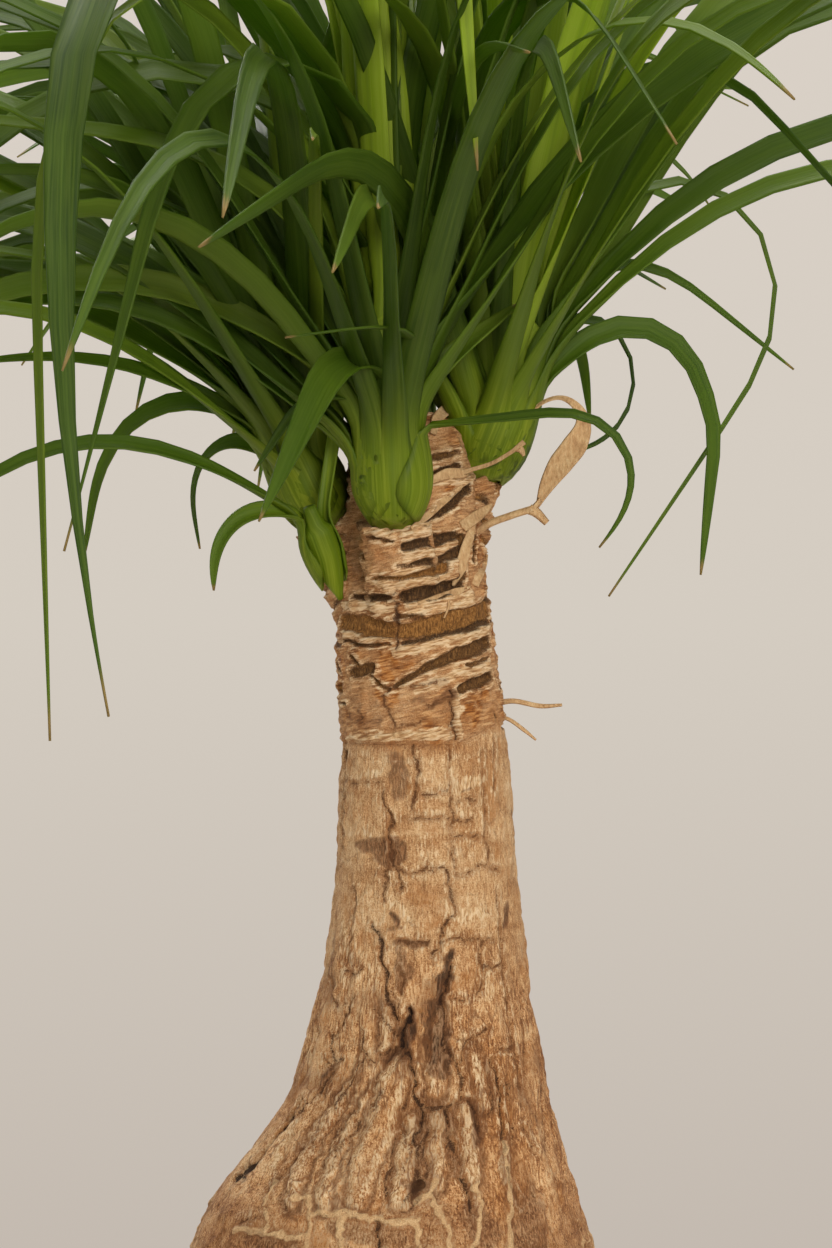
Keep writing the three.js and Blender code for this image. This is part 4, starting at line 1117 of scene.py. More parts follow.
    own = np.minimum(np.minimum(cork_split + 6 * (1 - corky), block_split + 6 * (1 - blocky)), ring_split)
    own = np.minimum(own, plate_edge)
    values = dict(
        scarred=scarred, corky=np.clip(corky + netted, 0, 1),
        # Tone, with the cork zone painted lighter on its left and darker towards its right side: painted
        # light and shade
        tone=(block_plate * blocky + cork_plate * corky + net_plate * netted + 0.5 * scarred) * 2 - 1
             + 0.6 * bulge - 0.9 * netted - 2.6 * corky * ease((np.sin(angle) - 0.2) / 0.6) + 1.3 * corky,
        recess=np.minimum(recess, 0.8 - hollow), rust=rust * (hollow < 0.3),
        crack=np.minimum(crack_gap, own),
        # How deep each crack is, from 0 to 1, which darkens its colour as painted shade
        deep=np.where(crack_gap < own, np.clip((crack_depth - 0.5) / 1.6, 0, 1), 0.5 * corky),
        net=np.minimum(front_net - 0.15, net_line + 0.1 + 2 * front * (height > FRONT_NET_TOP)),
        # Pale: strips, scar lips, crack borders and worn places, which are the bark's own colour, and the
        # painted highlight along the caudex plates
        pale=np.clip(1.1 * (1 - ease((strip_gap + 0.5) / 1.3)) + 0.5 * lip + 0.4 * edge + pale
                     + 0.8 * crest_highlight, 0, 1),
        # Stains: chips, charred streaks, knots and cork blotches, darker in the net zone, with painted shade
        # in the grooves just outside the caudex plates
        stain_and_shade=np.clip(stain_and_shade + 0.5 * np.exp(-((plate_gap - 0.3) / 0.9) ** 2) + 0.25 * netted
                      + 0.3 * corky * ease((waves(place, 16, 13) - 0.2) / 0.7), 0, 1),
        rusty=np.clip(rusty + scarred * (0.5 + 0.5 * ease((waves(place, 9, 8) - 0.1) / 0.6)), 0, 1),
    )
    return out * showing, values


def front_columns(flat):
    """Angle round the trunk for a grid's columns, which stand closest together in front."""
    angle = math.pi * (flat - FRONT_CROWDING * np.sin(math.pi * flat) / math.pi)
    return np.where(np.isclose(flat, 1), -math.pi, angle)


def trunk_surface(piece, angle, height, tuck):
    """Shapes a grid into bark, drawn in by tuck mm where two stretches meet in the groove."""
    radius, centre = trunk_section(height)
    out, values = bark_relief(angle, height, radius, centre)
    reach = radius + out - tuck
    set_points(piece, np.column_stack([centre + reach * np.sin(angle), -reach * np.cos(angle), height]))
    set_values(piece, **values)
    close_tube(piece)
    return piece


def lower_trunk():
    """The caudex and the trunk up to the groove."""
    share = np.concatenate([np.linspace(-0.12, 0, BURIED_ROWS, endpoint=False),
                            np.linspace(0, 1, LOWER_ROWS + 1)])
    trunk, across, row = grid("bark", LOWER_COLUMNS, len(share) - 1)
    angle = front_columns(across)
    up = share[np.round(row * (len(share) - 1)).astype(int)]
    height = SOIL_LINE + up * (groove_line(angle) - SOIL_LINE)
    last = up > 1 - 1e-4
    return trunk_surface(trunk, angle, height + GROOVE_LAP * last, GROOVE_TUCK * last)


def upper_trunk():
    """The scarred trunk above the groove."""
    trunk, across, up = grid("upper_trunk", UPPER_COLUMNS, UPPER_ROWS)
    angle = front_columns(across)
    height = TRUNK_TOP + (1 - up) * (groove_line(angle) - TRUNK_TOP)
    first = up < 1e-4
    return trunk_surface(trunk, angle, height - GROOVE_LAP * first, GROOVE_TUCK * first)


def head_frame(head):
    """A head's base, its axis and two directions across it."""
    axis = unit(np.array(head["axis"], float))
    level = unit(np.array([-axis[1], axis[0], 0.0]))
    return np.array(head["base"], float), axis, level, np.cross(axis, level)


def core_radius(head, distance):
    """Radius of the bud of wrapped leaf bases at a distance along the head's axis."""
    r, h = head["radius"], head["height"]
    rounded = np.sqrt(np.clip((distance - head["rim"] + 4) / 15, 0.08, 1))
    return rounded * np.interp(distance, [-6, 0, 1, 6, 15, 28, 0.6 * h, 0.82 * h, h],
                     [0.4 * r, 0.5 * r, 0.62 * r, 0.9 * r, r, 0.93 * r, 0.72 * r, 0.4 * r, 0.05 * r])


def stub_piece(name, head, seed):
    """The short scarred branch that carries a head, with a torn papery rim round the leaf bases. Its front
    carries the same marks as the trunk behind it."""
    base, axis, _, _ = head_frame(head)
    start = np.array([float(trunk_section(STUB_ROOT)[1]), 0.0, base[2] - STUB_LENGTH])
    end = base + axis * head["rim"]
    stub, across, up = grid(name, STUB_COLUMNS, STUB_ROWS)
    angle = front_columns(across)
    bend = ease((up - 0.35) / 0.5)[:, None]
    direct = unit(end - start)
    line = start + (end - start) * up[:, None]
    along = unit(direct * (1 - bend) + axis * bend)
    right = unit(np.cross(np.array([0.0, 1.0, 0.0]), along))
    back = np.cross(along, right)
    outward = right * np.sin(angle)[:, None] - back * np.cos(angle)[:, None]
    neck = head["neck"]
    radius = head["radius"] * np.interp(up, [0, 0.6, 0.9, 1], [1.2, 0.4 + 0.7 * neck, neck + 0.06, neck])
    rough = line + radius[:, None] * outward

    length = float(np.linalg.norm(end - start))
    ring = up * length - 3 * np.sin(angle + seed) - np.sin(2 * angle + 2 * seed)
    step = (ring / 6.2 + 0.25 * waves(rough, 14, 20 + seed)) % 1
    tatter = waves(rough, 5, 21 + seed)
    fine = waves(rough, 2.2, 22 + seed)
    gap = 3.1 * np.abs(step - 0.16) - 0.55 - 0.8 * waves(rough, 8, 23 + seed)
    out = ((step - 0.4) * ease(step / 0.1) - 1.1 * (1 - ease((gap + 0.5) / 0.9)) + 0.35 * tatter
           + 0.25 * fine)

    away = CAMERA_AWAY + rough[:, 1]
    seen, height = seen_place((rough[:, 0] - CAMERA_X) / away, (CAMERA_HEIGHT - rough[:, 2]) / away)
    section, centre = trunk_section(np.clip(height, *SEEN_HEIGHTS))
    front_out, marks = bark_relief(seen, height, section, centre)
    facing = ease((-outward[:, 1] - 0.1) / 0.35) * ease((0.96 - np.abs(np.sin(seen))) / 0.1)
    mine = dict(scarred=1.0, corky=0.0, tone=0.3 * tatter, recess=gap, rust=np.clip(0.5 + tatter, 0, 1),
                crack=NONE_NEAR, deep=0.5, net=NONE_NEAR, pale=0.5 * ease((step - 0.7) / 0.3),
                stain_and_shade=0.25 * ease(1 - up), rusty=0.25 + 0.5 * ease(tatter))
    values = {key: marks[key] * facing + mine[key] * (1 - facing) for key in mine}

    out = front_out * facing + out * (1 - facing) + 0.8 * ease((up - 0.94) / 0.05)
    torn = ease((up - 0.93) / 0.07) * (tatter + 1.3 * fine)
    set_points(stub, rough + out[:, None] * outward + along * torn[:, None])
    set_values(stub, **values)
    close_tube(stub)
    return stub


# Leaves

def generator(seed):
    """The seeded draw of 0 to 1 that the plant's leaves grow by."""
    state = seed & 0xFFFFFFFF

    def draw():
        nonlocal state
        state = (state + 0x6D2B79F5) & 0xFFFFFFFF
        t = ((state ^ (state >> 15)) * (state | 1)) & 0xFFFFFFFF
        t ^= (t + (t ^ (t >> 7)) * (t | 61)) & 0xFFFFFFFF
        return (t ^ (t >> 14)) / 4294967296

    return draw


def drawn_leaf(head, number, attempt):
    """A leaf drawn by the plant's own rule. Number 0 is the outermost."""
    draw = generator(SEED + head["index"] * 7919 + number * 101 + attempt * 13)
    inner = min((number + 0.5) / head["leaves"], 1.0)
    heading = number * GOLDEN_ANGLE + head["index"] * 50 + (draw() - 0.5) * (30 + 12 * attempt)
    axis = unit(np.array(head["axis"], float))
    outward = math.cos(math.radians(heading) - math.atan2(axis[1], axis[0]))
    rise = 44 + 40 * inner + (draw() - 0.5) * 16 - 4 * outward
    length = head["radius"] * (18 + (12 - 5 * inner) * draw() + 3 * inner)
    droop = (60 + 80 * draw()) * (1 - 0.4 * inner)
    start = 0.15 + 0.3 * draw() * inner
    bend = (start, start + 0.55 + 0.3 * draw())
    width = head["radius"] * (0.6 + 0.45 * draw())
    twist = (20 + 50 * draw()) * (1 if math.cos(math.radians(heading)) > 0 else -1)
    return strap(heading, min(rise, 89), droop, bend, length, width, twist=twist, up=14 + 26 * inner)


def hangs_low(points):
    """Whether a leaf hangs below the skirt or into the clear space round the trunk."""
    x, y, z = points.T
    rise = np.where(x > 0, CLEAR_RISE_RIGHT, CLEAR_RISE_LEFT)
    near = np.abs(x) <= CLEAR_HALF_WIDTH * (1 + y / CAMERA_AWAY)
    under = z < CLEAR_TOP + rise * np.maximum(np.abs(x) - CLEAR_INNER, 0)
    return (z < SKIRT).any() or (near & under)[4:].any()


def leaf_path(leaf, start):
    """Points along a leaf, with the directions across it and out of its upper face."""
    low, high = leaf["bend"]
    fold_at, fold = leaf.get("fold", (1, 0))
    s = (np.arange(LEAF_STEPS) + 0.5) / LEAF_STEPS
    around = np.radians(leaf["heading"] + leaf.get("turn", 0) * s)
    up = np.radians(leaf["rise"] - leaf["droop"] * ease((s - low) / (high - low))
                    - fold * ease((s - fold_at) / 0.08))
    along = np.column_stack([np.cos(up) * np.cos(around), np.cos(up) * np.sin(around), np.sin(up)])
    level = np.column_stack([-np.sin(around), np.cos(around), np.zeros(LEAF_STEPS)])
    raised = np.cross(along, level)
    twist = np.radians(leaf.get("twist", 0) * ease(s / 0.4))[:, None]
    turned = level * np.cos(twist) + np.cross(along, level) * np.sin(twist)
    raised = raised * np.cos(twist) + np.cross(along, raised) * np.sin(twist)
    points = start + np.vstack([np.zeros(3), np.cumsum(along * leaf["length"] / LEAF_STEPS, axis=0)])
    close = lambda rows: np.vstack([rows, rows[-1:]])
    return points, close(turned), close(raised)


def leaf_start(head, leaf):
    """Where a leaf's path starts: inside the bud, on the head's axis."""
    base, axis, _, _ = head_frame(head)
    up = leaf.get("up", 18 + leaf["rise"] / 5) * (head["height"] / FULL_HEAD)
    return base + axis * up


def grown_leaves(name, head):
    """The placed leaves, and of each number's drawn tries the one whose tip is in the head's solid."""
    node = mesh_points(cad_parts[name]) / MM
    leaves = list(PLACED_LEAVES[name])
    for number in range(head["leaves"]):
        for attempt in range(TRIES):
            leaf = drawn_leaf(head, number, attempt)
            tip = leaf_path(leaf, leaf_start(head, leaf))[0][-1]
            if np.abs(node - tip).sum(axis=1).min() < SAME_TIP:
                if number in head.get("young", ()):
                    leaf["fresh"] = 1
                leaves.append(leaf)
                break
    return leaves


def extra_leaves(head, low, high):
    """More leaves by the same rule, between the others, where they stay inside the plant's box."""
    more = []
    for number in range(head["extra"]):
        for attempt in range(TRIES):
            leaf = drawn_leaf(head, 3 + number * head["leaves"] // head["extra"], 40 + attempt + 3 * number)
            leaf["heading"] += 68 * number
            leaf["width"] *= 0.85
            points = leaf_path(leaf, leaf_start(head, leaf))[0]
            inside = (points > low + BOX_MARGIN).all() and (points < high - BOX_MARGIN).all()
            if inside and not hangs_low(points):
                more.append(leaf)
                break
    return more


def width_share(s, taper):
    """Share of a leaf's full width along it: even, then tapering to the tip."""
    return np.where(s < 0.45, 1.0, (np.clip(1 - s, 0, 1) / 0.55) ** taper)


def blade_template():
    """A flat closed blade, 2 x 2 x 2, to be bent along each leaf."""
    blade = grid("blade", BLADE_ACROSS, BLADE_ROWS)[0]
    thickness = blade.modifiers.new("thickness", "SOLIDIFY")
    thickness.thickness = 2
    thickness.offset = 0
    activate(blade)
    bpy.ops.object.modifier_apply(modifier=thickness.name)
    bpy.ops.object.shade_smooth()
    return blade


def own_copy(piece, name):
    """A copy of a piece with its own mesh."""
    made = piece.copy()
    made.data = piece.data.copy()
    made.name = made.data.name = name
    bpy.context.scene.collection.objects.link(made)
    return made


def bent_blade(template, name, rows, thickness=BLADE_THICKNESS):
    """A copy of the blade bent along rows: centre, direction across, direction of the upper face, half width,
    half angle of the channel, and mm from the root. Gives the piece and each vertex's place in it."""
    blade = own_copy(template, name)
    flat = mesh_points(blade)
    t = (flat[:, 1] + 1) / 2
    centre, level, raised, half, channel, root = (
        np.column_stack([np.interp(t, rows["t"], column) for column in np.atleast_2d(rows[key].T)])
        for key in ("centre", "level", "raised", "half", "channel", "root"))
    level = unit(level)
    raised = unit(raised - level * (raised * level).sum(axis=1, keepdims=True))
    across = -flat[:, :1]
    turn = across * channel
    side = half * np.sin(turn) / channel
    lift = half * (1 - np.cos(turn)) / channel
    upper = raised * np.cos(turn) - level * np.sin(turn)
    points = centre + level * side + raised * lift + upper * flat[:, 2:] * thickness / 2
    set_points(blade, points)
    return blade, across[:, 0], half[:, 0], root[:, 0]


def leaf_rows(head, leaf, layer):
    """Rows of a leaf: its base wraps the bud, then it leaves along its path."""
    base, axis, _, _ = head_frame(head)
    points, level, raised = leaf_path(leaf, leaf_start(head, leaf))
    fine = np.linspace(0, 1, 4 * LEAF_STEPS + 1)
    points, level, raised = (smooth_through(rows, fine) for rows in (points, level, raised))
    off = points - base
    distance = off @ axis
    radial = off - distance[:, None] * axis
    out = np.linalg.norm(radial, axis=1)
    clear = np.flatnonzero((out > 0.92 * core_radius(head, distance)) | (distance > head["height"]))
    leave = max(int(clear[0]) if len(clear) else 1, 1)
    outward = unit(radial[leave])
    side = np.cross(axis, outward)
    top = distance[leave]
    bottom = max(head["rim"] - 1.5 + 3 * abs(math.sin(3.7 * leaf["heading"])), top - 0.62 * head["height"])
    bottom = min(bottom, top - 6)
    steps = np.linspace(0, 1, SHEATH_ROWS)
    down = bottom + (top - bottom) * steps
    hug = core_radius(head, down) + 0.5 + layer
    wrap_centre = base + down[:, None] * axis + hug[:, None] * outward
    strap_half = leaf["width"] / 2
    wrap_angle = (1.5 - 1.05 * ease((steps - 0.25) / 0.8)) * np.sqrt(0.06 + 0.94 * ease(steps / 0.3))
    wrap_half = np.maximum(strap_half * (0.25 + 0.9 * ease(steps / 0.5)), hug * wrap_angle)
    first = leave + 2
    centre = np.vstack([wrap_centre, points[first:]])
    gap = np.linalg.norm(np.diff(centre, axis=0), axis=1)
    run = np.concatenate([[0], np.cumsum(gap)])
    beyond = run[len(steps):] - run[len(steps)]
    tapered = width_share(fine[first:], leaf.get("taper", 0.6))
    half_out = strap_half * tapered * (1 + 0.28 * (1 - ease(beyond / 28)))
    channel_out = 0.28 + 0.8 * (1 - ease(beyond / 40)) + 0.25 * (1 - ease(beyond / 120))
    rows = dict(
        centre=centre, level=np.vstack([np.tile(side, (len(steps), 1)), level[first:]]),
        raised=np.vstack([np.tile(-outward, (len(steps), 1)), raised[first:]]),
        half=np.concatenate([wrap_half, np.maximum(half_out, 0.2)]),
        channel=np.concatenate([wrap_half / hug, channel_out]), root=run,
    )
    for key, rounds, kept in (("centre", 3, 2), ("level", 3, 2), ("raised", 3, 2), ("half", 6, 1),
                              ("channel", 6, 1)):
        row, last = rows[key], len(run) - kept
        for _ in range(rounds):
            row[kept:last] = (row[kept - 1:last - 1] + 2 * row[kept:last] + row[kept + 1:last + 1]) / 4
    near = np.minimum(run / 60, 1)
    tip = np.clip(1 - (run[-1] - run) / 26, 0, 1)
    rows["t"] = 0.38 * near + 0.5 * run / run[-1] + 0.12 * tip
    rows["t"] /= rows["t"][-1]
    rows["length"] = run[-1]
    return rows


def smooth_through(rows, wanted):
    """A smooth curve through evenly spaced rows, at the wanted shares of its way."""
    step = 1 / (len(rows) - 1)
    slope = np.gradient(rows, step, axis=0)
    k = np.clip((wanted / step).astype(int), 0, len(rows) - 2)
    return curve((wanted / step - k)[:, None], step, rows[k], rows[k + 1], slope[k], slope[k + 1])


def bud_piece(name, head):
    """The closed bud inside the wrapped leaf bases."""
    base, axis, level, second = head_frame(head)
    bud, across, up = grid(name, BUD_COLUMNS, BUD_ROWS)
    angle = across * math.pi
    along = up * (head["height"] * 0.9 - head["rim"]) + head["rim"] - 4
    radius = core_radius(head, along) - 0.4
    points = base + along[:, None] * axis + radius[:, None] * (
        np.cos(angle)[:, None] * level + np.sin(angle)[:, None] * second)
    set_points(bud, points)
    set_values(bud, from_root=along, across=angle * radius, edge=0.0, share=0.3, tone=0.35, young=0.0)
    close_tube(bud)
    return bud


def head_piece(name, head, template, low, high):
    """All the leaves of a head and its bud as one piece."""
    draw = np.random.default_rng(TONE_SEED + head["index"])
    pieces = [bud_piece(name + "_bud", head)]
    leaves = grown_leaves(name, head) + extra_leaves(head, low, high) + YOUNG_LEAVES.get(name, [])
    for number, leaf in enumerate(leaves):
        layer = 1.6 * (1 - min(leaf["rise"], 85) / 85) + 0.25 * draw.uniform()
        rows = leaf_rows(head, leaf, layer)
        blade, across, half, root = bent_blade(template, f"{name}_{number}", rows)
        young = ease((leaf["rise"] - 76) / 8) * (draw.uniform() < 0.45) * ("taper" not in leaf)
        set_values(blade, from_root=root, across=across * half, edge=np.abs(across),
                   share=root / rows["length"], tone=draw.uniform(), young=leaf.get("fresh", young))
        pieces.append(blade)
    return joined(name.replace("head", "leaves") if "head" in name else name + "_leaves", pieces)


# Pot and soil

def pot_radius(height):
    """Radius of the pot's outer wall below the rim band."""
    return POT_FOOT_RADIUS + (POT_TOP_RADIUS - RIM_BAND_DEPTH - POT_FOOT_RADIUS) * height / POT_HEIGHT


def turned_piece(name, profile, sides):
    """A round piece raised from a disc by extruding it up its profile of (radius, height) pairs."""
    radius, height = profile[0]
    bpy.ops.object.select_all(action="DESELECT")
    bpy.ops.mesh.primitive_circle_add(vertices=sides, radius=radius * MM, fill_type="NGON",
                                      location=(0, 0, height * MM))
    piece = named(name)
    bpy.ops.object.transform_apply(location=True, rotation=False, scale=False)
    bpy.ops.object.mode_set(mode="EDIT")
    bpy.ops.mesh.select_mode(type="FACE")
    bpy.ops.mesh.select_all(action="SELECT")
    for new_radius, new_height in profile[1:]:
        bpy.ops.mesh.extrude_region_move(TRANSFORM_OT_translate={"value": (0, 0, (new_height - height) * MM)})
        share = new_radius / radius
        bpy.ops.transform.resize(value=(share, share, 1), center_override=(0, 0, new_height * MM))
        radius, height = new_radius, new_height
    bpy.ops.mesh.select_mode(type="EDGE")
    bpy.ops.mesh.select_all(action="DESELECT")
    bpy.ops.mesh.select_non_manifold()
    bpy.ops.mesh.edge_face_add()
    bpy.ops.mesh.select_all(action="SELECT")
    bpy.ops.mesh.normals_make_consistent(inside=False)
    bpy.ops.object.mode_set(mode="OBJECT")
    return piece


def pot_piece():
    """The pot, raised in one go from its foot over the rim to its floor, drilled and with its edges worn."""
    band = POT_HEIGHT - RIM_BAND_HEIGHT
    inner = lambda z: pot_radius(z) - POT_WALL
    pot = turned_piece("clay_pot", [
        (POT_FOOT_RADIUS - 2, 0), *((pot_radius(z), z) for z in (*POT_RINGS, band)),
        (POT_TOP_RADIUS - 2, band + 1.5), (POT_TOP_RADIUS - 1, band + 4),
        (POT_TOP_RADIUS, POT_HEIGHT - 3), (POT_TOP_RADIUS - 3, POT_HEIGHT),
        (inner(POT_HEIGHT) + 2.5, POT_HEIGHT), (inner(POT_HEIGHT), POT_HEIGHT - 2.5),
        (inner(POT_FLOOR + 5), POT_FLOOR + 5), (inner(POT_FLOOR) - 5, POT_FLOOR),
    ], POT_SIDES)
    bpy.ops.object.select_all(action="DESELECT")
    drills = []
    away = HOLE_AWAY * MM
    for quarter in range(4):
        turn = math.radians(45 + 90 * quarter)
        place = (away * math.cos(turn), away * math.sin(turn), DRILL_MIDDLE * MM)
        bpy.ops.mesh.primitive_cylinder_add(vertices=HOLE_SIDES, radius=HOLE_RADIUS * MM,
                                            depth=DRILL_LENGTH * MM, location=place)
        drills.append(bpy.context.active_object)
    drill = joined("drill", drills)
    bpy.ops.object.transform_apply(location=True, rotation=True, scale=True)
    activate(pot)
    holes = pot.modifiers.new("drain holes", "BOOLEAN")
    holes.object = drill
    holes.operation = "DIFFERENCE"
    bpy.ops.object.modifier_apply(modifier=holes.name)
    bpy.data.objects.remove(drill)
    edges = pot.modifiers.new("worn edges", "BEVEL")
    edges.width = WORN_EDGE * MM
    edges.segments = 3
    edges.limit_method = "ANGLE"
    edges.angle_limit = math.radians(25)
    bpy.ops.object.modifier_apply(modifier=edges.name)
    bpy.ops.object.shade_smooth_by_angle(angle=math.radians(35))
    return pot


def soil_edge(height):
    """Radius of the soil where it fills the pot."""
    return pot_radius(height) - POT_WALL - SOIL_GAP


def soil_height(radius, angle):
    """Height of the soil's surface, without its crumbs."""
    share = radius / soil_edge(SOIL_LEVEL)
    rough = (np.sin(7 * angle + radius * 0.35) + np.sin(11 * angle - radius * 0.61 + 2)
             + np.sin(3 * angle + radius * 0.9))
    return SOIL_LEVEL + SOIL_MOUND * (1 - share * share) + 0.65 * rough * (1 - ease((share - 0.86) / 0.14))


def soil_piece():
    """The potting mix: a round body from the pot's floor up its wall, and a mounded, lumpy top."""
    soil, across, up = grid("potting_mix", SOIL_COLUMNS, SOIL_ROWS)
    angle = across * math.pi
    angle = np.where(np.isclose(angle, math.pi), -math.pi, angle)
    row = np.round(up * SOIL_ROWS)
    rows = [0, SOIL_FOOT_ROW, SOIL_WALL_ROW, SOIL_RIM_ROW]
    radius = np.interp(row, [*rows, SOIL_ROWS],
                       [1, soil_edge(10) - 4.5, soil_edge(15), soil_edge(SOIL_LEVEL) - SOIL_GAP, 1])
    top = soil_height(radius, angle)
    place = np.column_stack([radius * np.sin(angle), radius * np.cos(angle), top])
    lumps = ease((row - SOIL_RIM_ROW) / 6) * (1.3 * waves(place, 6, 31) + 0.9 * waves(place, 2.6, 32))
    foot = POT_FLOOR + SOIL_GAP
    below = np.interp(row, rows, [foot, foot, SOIL_WALL_START, SOIL_LEVEL])
    height = np.where(row < SOIL_RIM_ROW, below, top + lumps)
    set_points(soil, np.column_stack([radius * np.sin(angle), -radius * np.cos(angle), height]))
    close_tube(soil)
    return soil


def crumbs_piece(name, count, sizes, flatness, seed):
    """Loose bits lying on the soil, each a copy of one small lump."""
    bpy.ops.object.select_all(action="DESELECT")
    bpy.ops.mesh.primitive_ico_sphere_add(subdivisions=1, radius=1)
    lump = named(name)
    shape = mesh_points(lump)
    draw = np.random.default_rng(seed)
    low = float(trunk_section(SOIL_LEVEL)[0]) + CRUMBS_FROM_TRUNK
    high = pot_radius(SOIL_LEVEL) - POT_WALL - CRUMBS_FROM_WALL
    pieces = []
    for _ in range(count):
        crumb = own_copy(lump, name)
        turn = draw.uniform(-math.pi, math.pi)
        away = math.sqrt(draw.uniform(low**2, high**2))
        size = draw.uniform(*sizes) * draw.uniform(0.7, 1.0, 3) * (1, draw.uniform(0.5, 0.9), flatness)
        spin = draw.uniform(0, math.pi)
        body = shape * (1 + draw.uniform(-0.22, 0.22, shape.shape)) * size
        c, s = math.cos(spin), math.sin(spin)
        body = body @ np.array([[c, s, 0], [-s, c, 0], [0, 0, 1]])
        body[:, 2] += draw.uniform(-0.4, 0.4) * body[:, 0]
        height = float(soil_height(away, turn)) + 0.45 * size[2] + 0.4
        set_points(crumb, body + (away * math.sin(turn), -away * math.cos(turn), height))
        pieces.append(crumb)
    bpy.data.objects.remove(lump)
    return joined(name, pieces)


# Dry bits

def strand(template, name, points, halves, faces, channel=0.3, thickness=0.7):
    """A strip bent through points, with its half width and the way that its upper face looks at each."""
    points, halves, faces = np.array(points, float), np.array(halves, float), unit(np.array(faces, float))
    places = np.linspace(0, 1, len(points))
    fine = np.linspace(0, 1, STRAND_STEPS)
    centre = smooth_through(points, fine)
    raised = unit(np.column_stack([np.interp(fine, places, faces[:, c]) for c in range(3)]))
    along = unit(np.gradient(centre, axis=0))
    level = unit(np.cross(raised, along))
    half = np.interp(fine, places, halves)
    run = np.concatenate([[0], np.cumsum(np.linalg.norm(np.diff(centre, axis=0), axis=1))])
    rows = dict(t=fine, centre=centre, level=level, raised=np.cross(along, level), half=half,
                channel=np.full(STRAND_STEPS, channel), root=run)
    return bent_blade(template, name, rows, thickness)[0]


def at_depth(pixel, y):
    """The point behind a pixel of the photograph, y mm from the trunk's axis and towards the back."""
    scale = PIXEL_MM * (CAMERA_AWAY + y) / CAMERA_AWAY
    return [CAMERA_X + (pixel[0] - PHOTO_WIDTH / 2) * scale, y,
            CAMERA_HEIGHT + (PHOTO_HEIGHT / 2 - pixel[1]) * scale]


def on_bark(bark, pixel, proud):
    """The point of the bark behind a pixel of the photograph, standing proud by some mm."""
    far = np.array(at_depth(pixel, 0))
    eye = np.array([CAMERA_X, -CAMERA_AWAY, CAMERA_HEIGHT])
    sight = unit(far - eye)
    point = bark.ray_cast(Vector(eye * MM), Vector(sight))[0]
    return (np.array(point) / MM if point else far) - proud * sight


def dry_pieces(template, crown):
    """Twig, fibres, flap, torn flakes, papery curls and two dead leaves behind, all of dry straw."""
    mesh = crown.data
    bark = BVHTree.FromPolygons([v.co for v in mesh.vertices], [p.vertices for p in mesh.polygons])
    pieces = []
    for name, points, halves, thickness, face in HANGING_BITS:
        path = [at_depth(pixel, y) for *pixel, y in points]
        pieces.append(strand(template, name, path, halves, [face] * len(path), 0.5, thickness))
    for name, points, proud, halves in CLINGING_BITS:
        path = [on_bark(bark, pixel, lift) for pixel, lift in zip(points, proud)]
        faces = [CLINGING_FACE] * len(path)
        pieces.append(strand(template, name, path, halves, faces, 0.5, BLADE_THICKNESS))
    for start, leaf in DEAD_LEAVES:
        points, _, raised = leaf_path(leaf, np.array(start, float))
        halves = leaf["width"] / 2 * width_share(np.linspace(0, 1, 9), 0.8) * [0.5, 0.8, 1, 1, 1, 1, 1, 1, 1]
        pieces.append(strand(template, "dead_leaf", points[::3], np.maximum(halves, 0.3), raised[::3], 0.6))
    return joined("dry_bits", pieces)


# Light, floor and camera

def aimed(piece, place, target):
    piece.location = place
    piece.rotation_euler = (Vector(target) - Vector(place)).to_track_quat("-Z", "Y").to_euler()


def soft_light(name, place, target, size, power, tint):
    light = bpy.data.lights.new(name, "AREA")
    light.shape = "DISK"
    light.size = size
    light.energy = power
    light.color = tint
    lamp = bpy.data.objects.new(name, light)
    bpy.context.scene.collection.objects.link(lamp)
    aimed(lamp, place, target)


def studio():
    world = bpy.data.worlds.new("pale studio")
    bpy.context.scene.world = world
    world.use_nodes = True
    sky = Nodes(world.node_tree)
    up = sky.node("SeparateXYZ", {0: sky.node("TexCoord", output="Generated")}, output="Z")
    climb = sky.node("MapRange", {"Value": up, "From Min": -0.22, "From Max": 0.22})
    wash = sky.ramp(climb, (0, (194, 184, 174)), (0.5, (212, 204, 193)), (1, (218, 209, 199)))
    backdrop = sky.tree.nodes["Background"]
    sky.fill(backdrop.inputs["Color"], wash)
    glow = sky.node("Background", {"Color": (1.0, 0.97, 0.93, 1), "Strength": 0.5})
    seen = sky.node("MixShader", {0: sky.node("LightPath", output="Is Camera Ray"), 1: glow,
                                  2: backdrop.outputs[0]})
    sky.tree.links.new(seen, sky.tree.nodes["World Output"].inputs["Surface"])
    for light in LIGHTS:
        soft_light(*light)


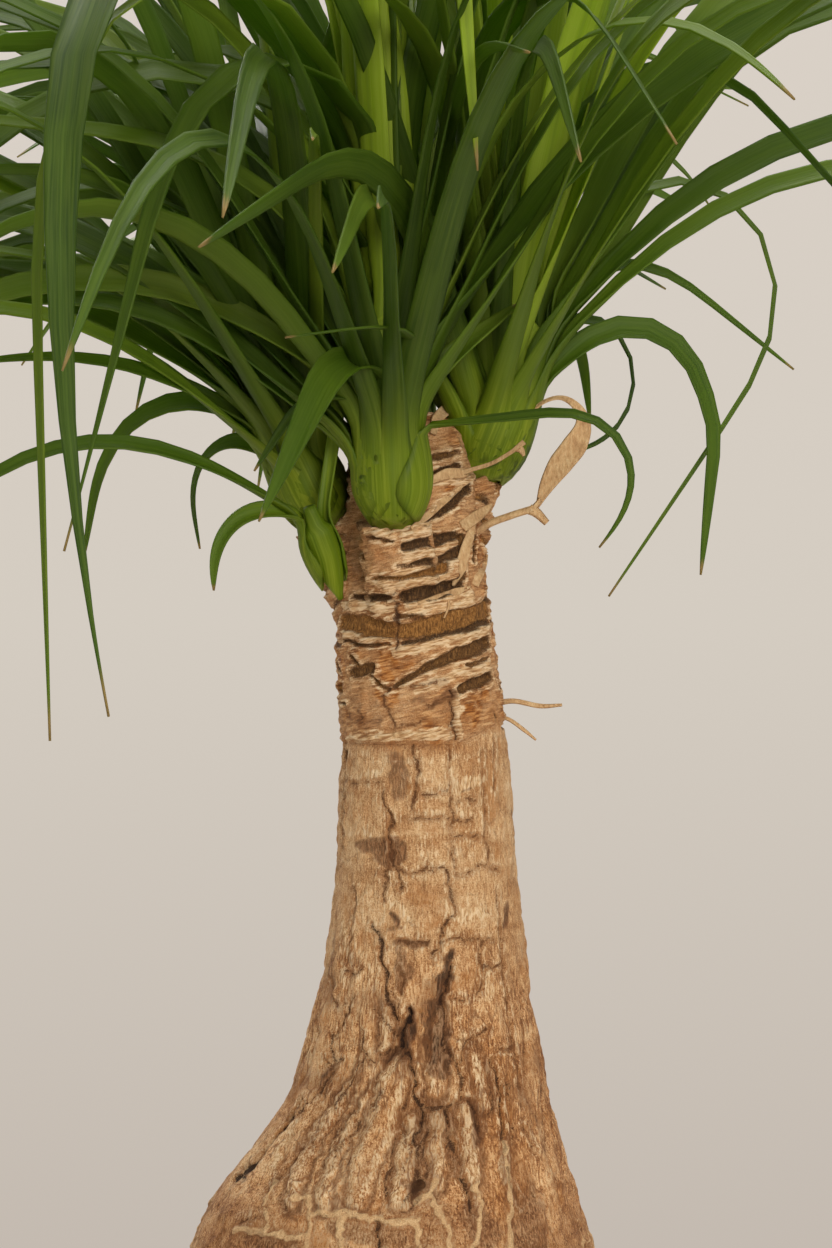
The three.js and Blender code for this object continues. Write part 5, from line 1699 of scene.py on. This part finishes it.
def floor_disc():
    bpy.ops.object.select_all(action="DESELECT")
    bpy.ops.mesh.primitive_circle_add(vertices=FLOOR_SIDES, radius=FLOOR_RADIUS, fill_type="NGON",
                                      location=(0, 0, 0))
    floor = named("floor")
    bpy.ops.object.mode_set(mode="EDIT")
    bpy.ops.mesh.select_all(action="SELECT")
    bpy.ops.mesh.inset(thickness=FLOOR_INSET)
    bpy.ops.object.mode_set(mode="OBJECT")
    paper = Finish("pale floor")
    here = paper.node("TexCoord", output="Object")
    away = paper.node("VectorMath", {0: here}, operation="LENGTH", output="Value")
    tint = paper.blend(paper.noise(paper.place(), 40, 2), (202, 193, 183), (206, 197, 187))
    paper.wear(Base_Color=tint, Roughness=0.9, Specular_IOR_Level=0.2)
    fade = paper.between(away, FLOOR_FADE_START, FLOOR_FADE_END)
    floor.data.materials.append(paper.share_with(fade, paper.node("BsdfTransparent")))


def camera():
    lens = bpy.data.cameras.new("camera")
    lens.lens = LENS_MM
    lens.sensor_width = SENSOR_MM
    viewer = bpy.data.objects.new("camera", lens)
    bpy.context.scene.collection.objects.link(viewer)
    place = (CAMERA_X * MM, -CAMERA_AWAY * MM, CAMERA_HEIGHT * MM)
    aimed(viewer, place, (place[0], 0, place[2]))
    bpy.context.scene.camera = viewer


def build():
    camera()
    studio()
    floor_disc()
    bpy.context.scene.view_settings.view_transform = "Standard"
    bark = bark_material()
    leaf = leaf_material()
    straw = straw_material()

    for index, (name, head) in enumerate(HEADS.items()):
        head["index"] = index
    finish_piece(lower_trunk(), bark, "bark", "trunk")
    woody = [upper_trunk()]
    for name, head in HEADS.items():
        if name != "side_shoot":
            woody.append(stub_piece(name + "_stub", head, head["index"]))
    crown = joined("scarred_bark", woody)
    finish_piece(crown, bark, "bark", "trunk")

    template = blade_template()
    low, high = (np.array(corner) / MM for corner in CAD_BOX)
    for name, head in HEADS.items():
        finish_piece(head_piece(name, head, template, low, high), leaf, "leaf", name)

    hanging = strand(template, "hanging_dead_leaf", [at_depth(pixel, y) for *pixel, y in DEAD_LEAF_ARC],
                     DEAD_LEAF_HALVES, DEAD_LEAF_FACES, 0.6)
    finish_piece(hanging, straw, "straw", "dry_leaf")
    finish_piece(dry_pieces(template, crown), straw, "straw", "trunk")

    finish_piece(pot_piece(), clay_material(), "terracotta", "pot")
    finish_piece(soil_piece(), soil_material(), "potting_mix", "soil")
    for name, count, sizes, flatness, seed, colours, grain in CRUMBS:
        material = crumb_material(name.replace("_", " "), *colours, grain)
        finish_piece(crumbs_piece(name, count, sizes, flatness, seed), material, "potting_mix")
    bpy.data.objects.remove(template)


build()
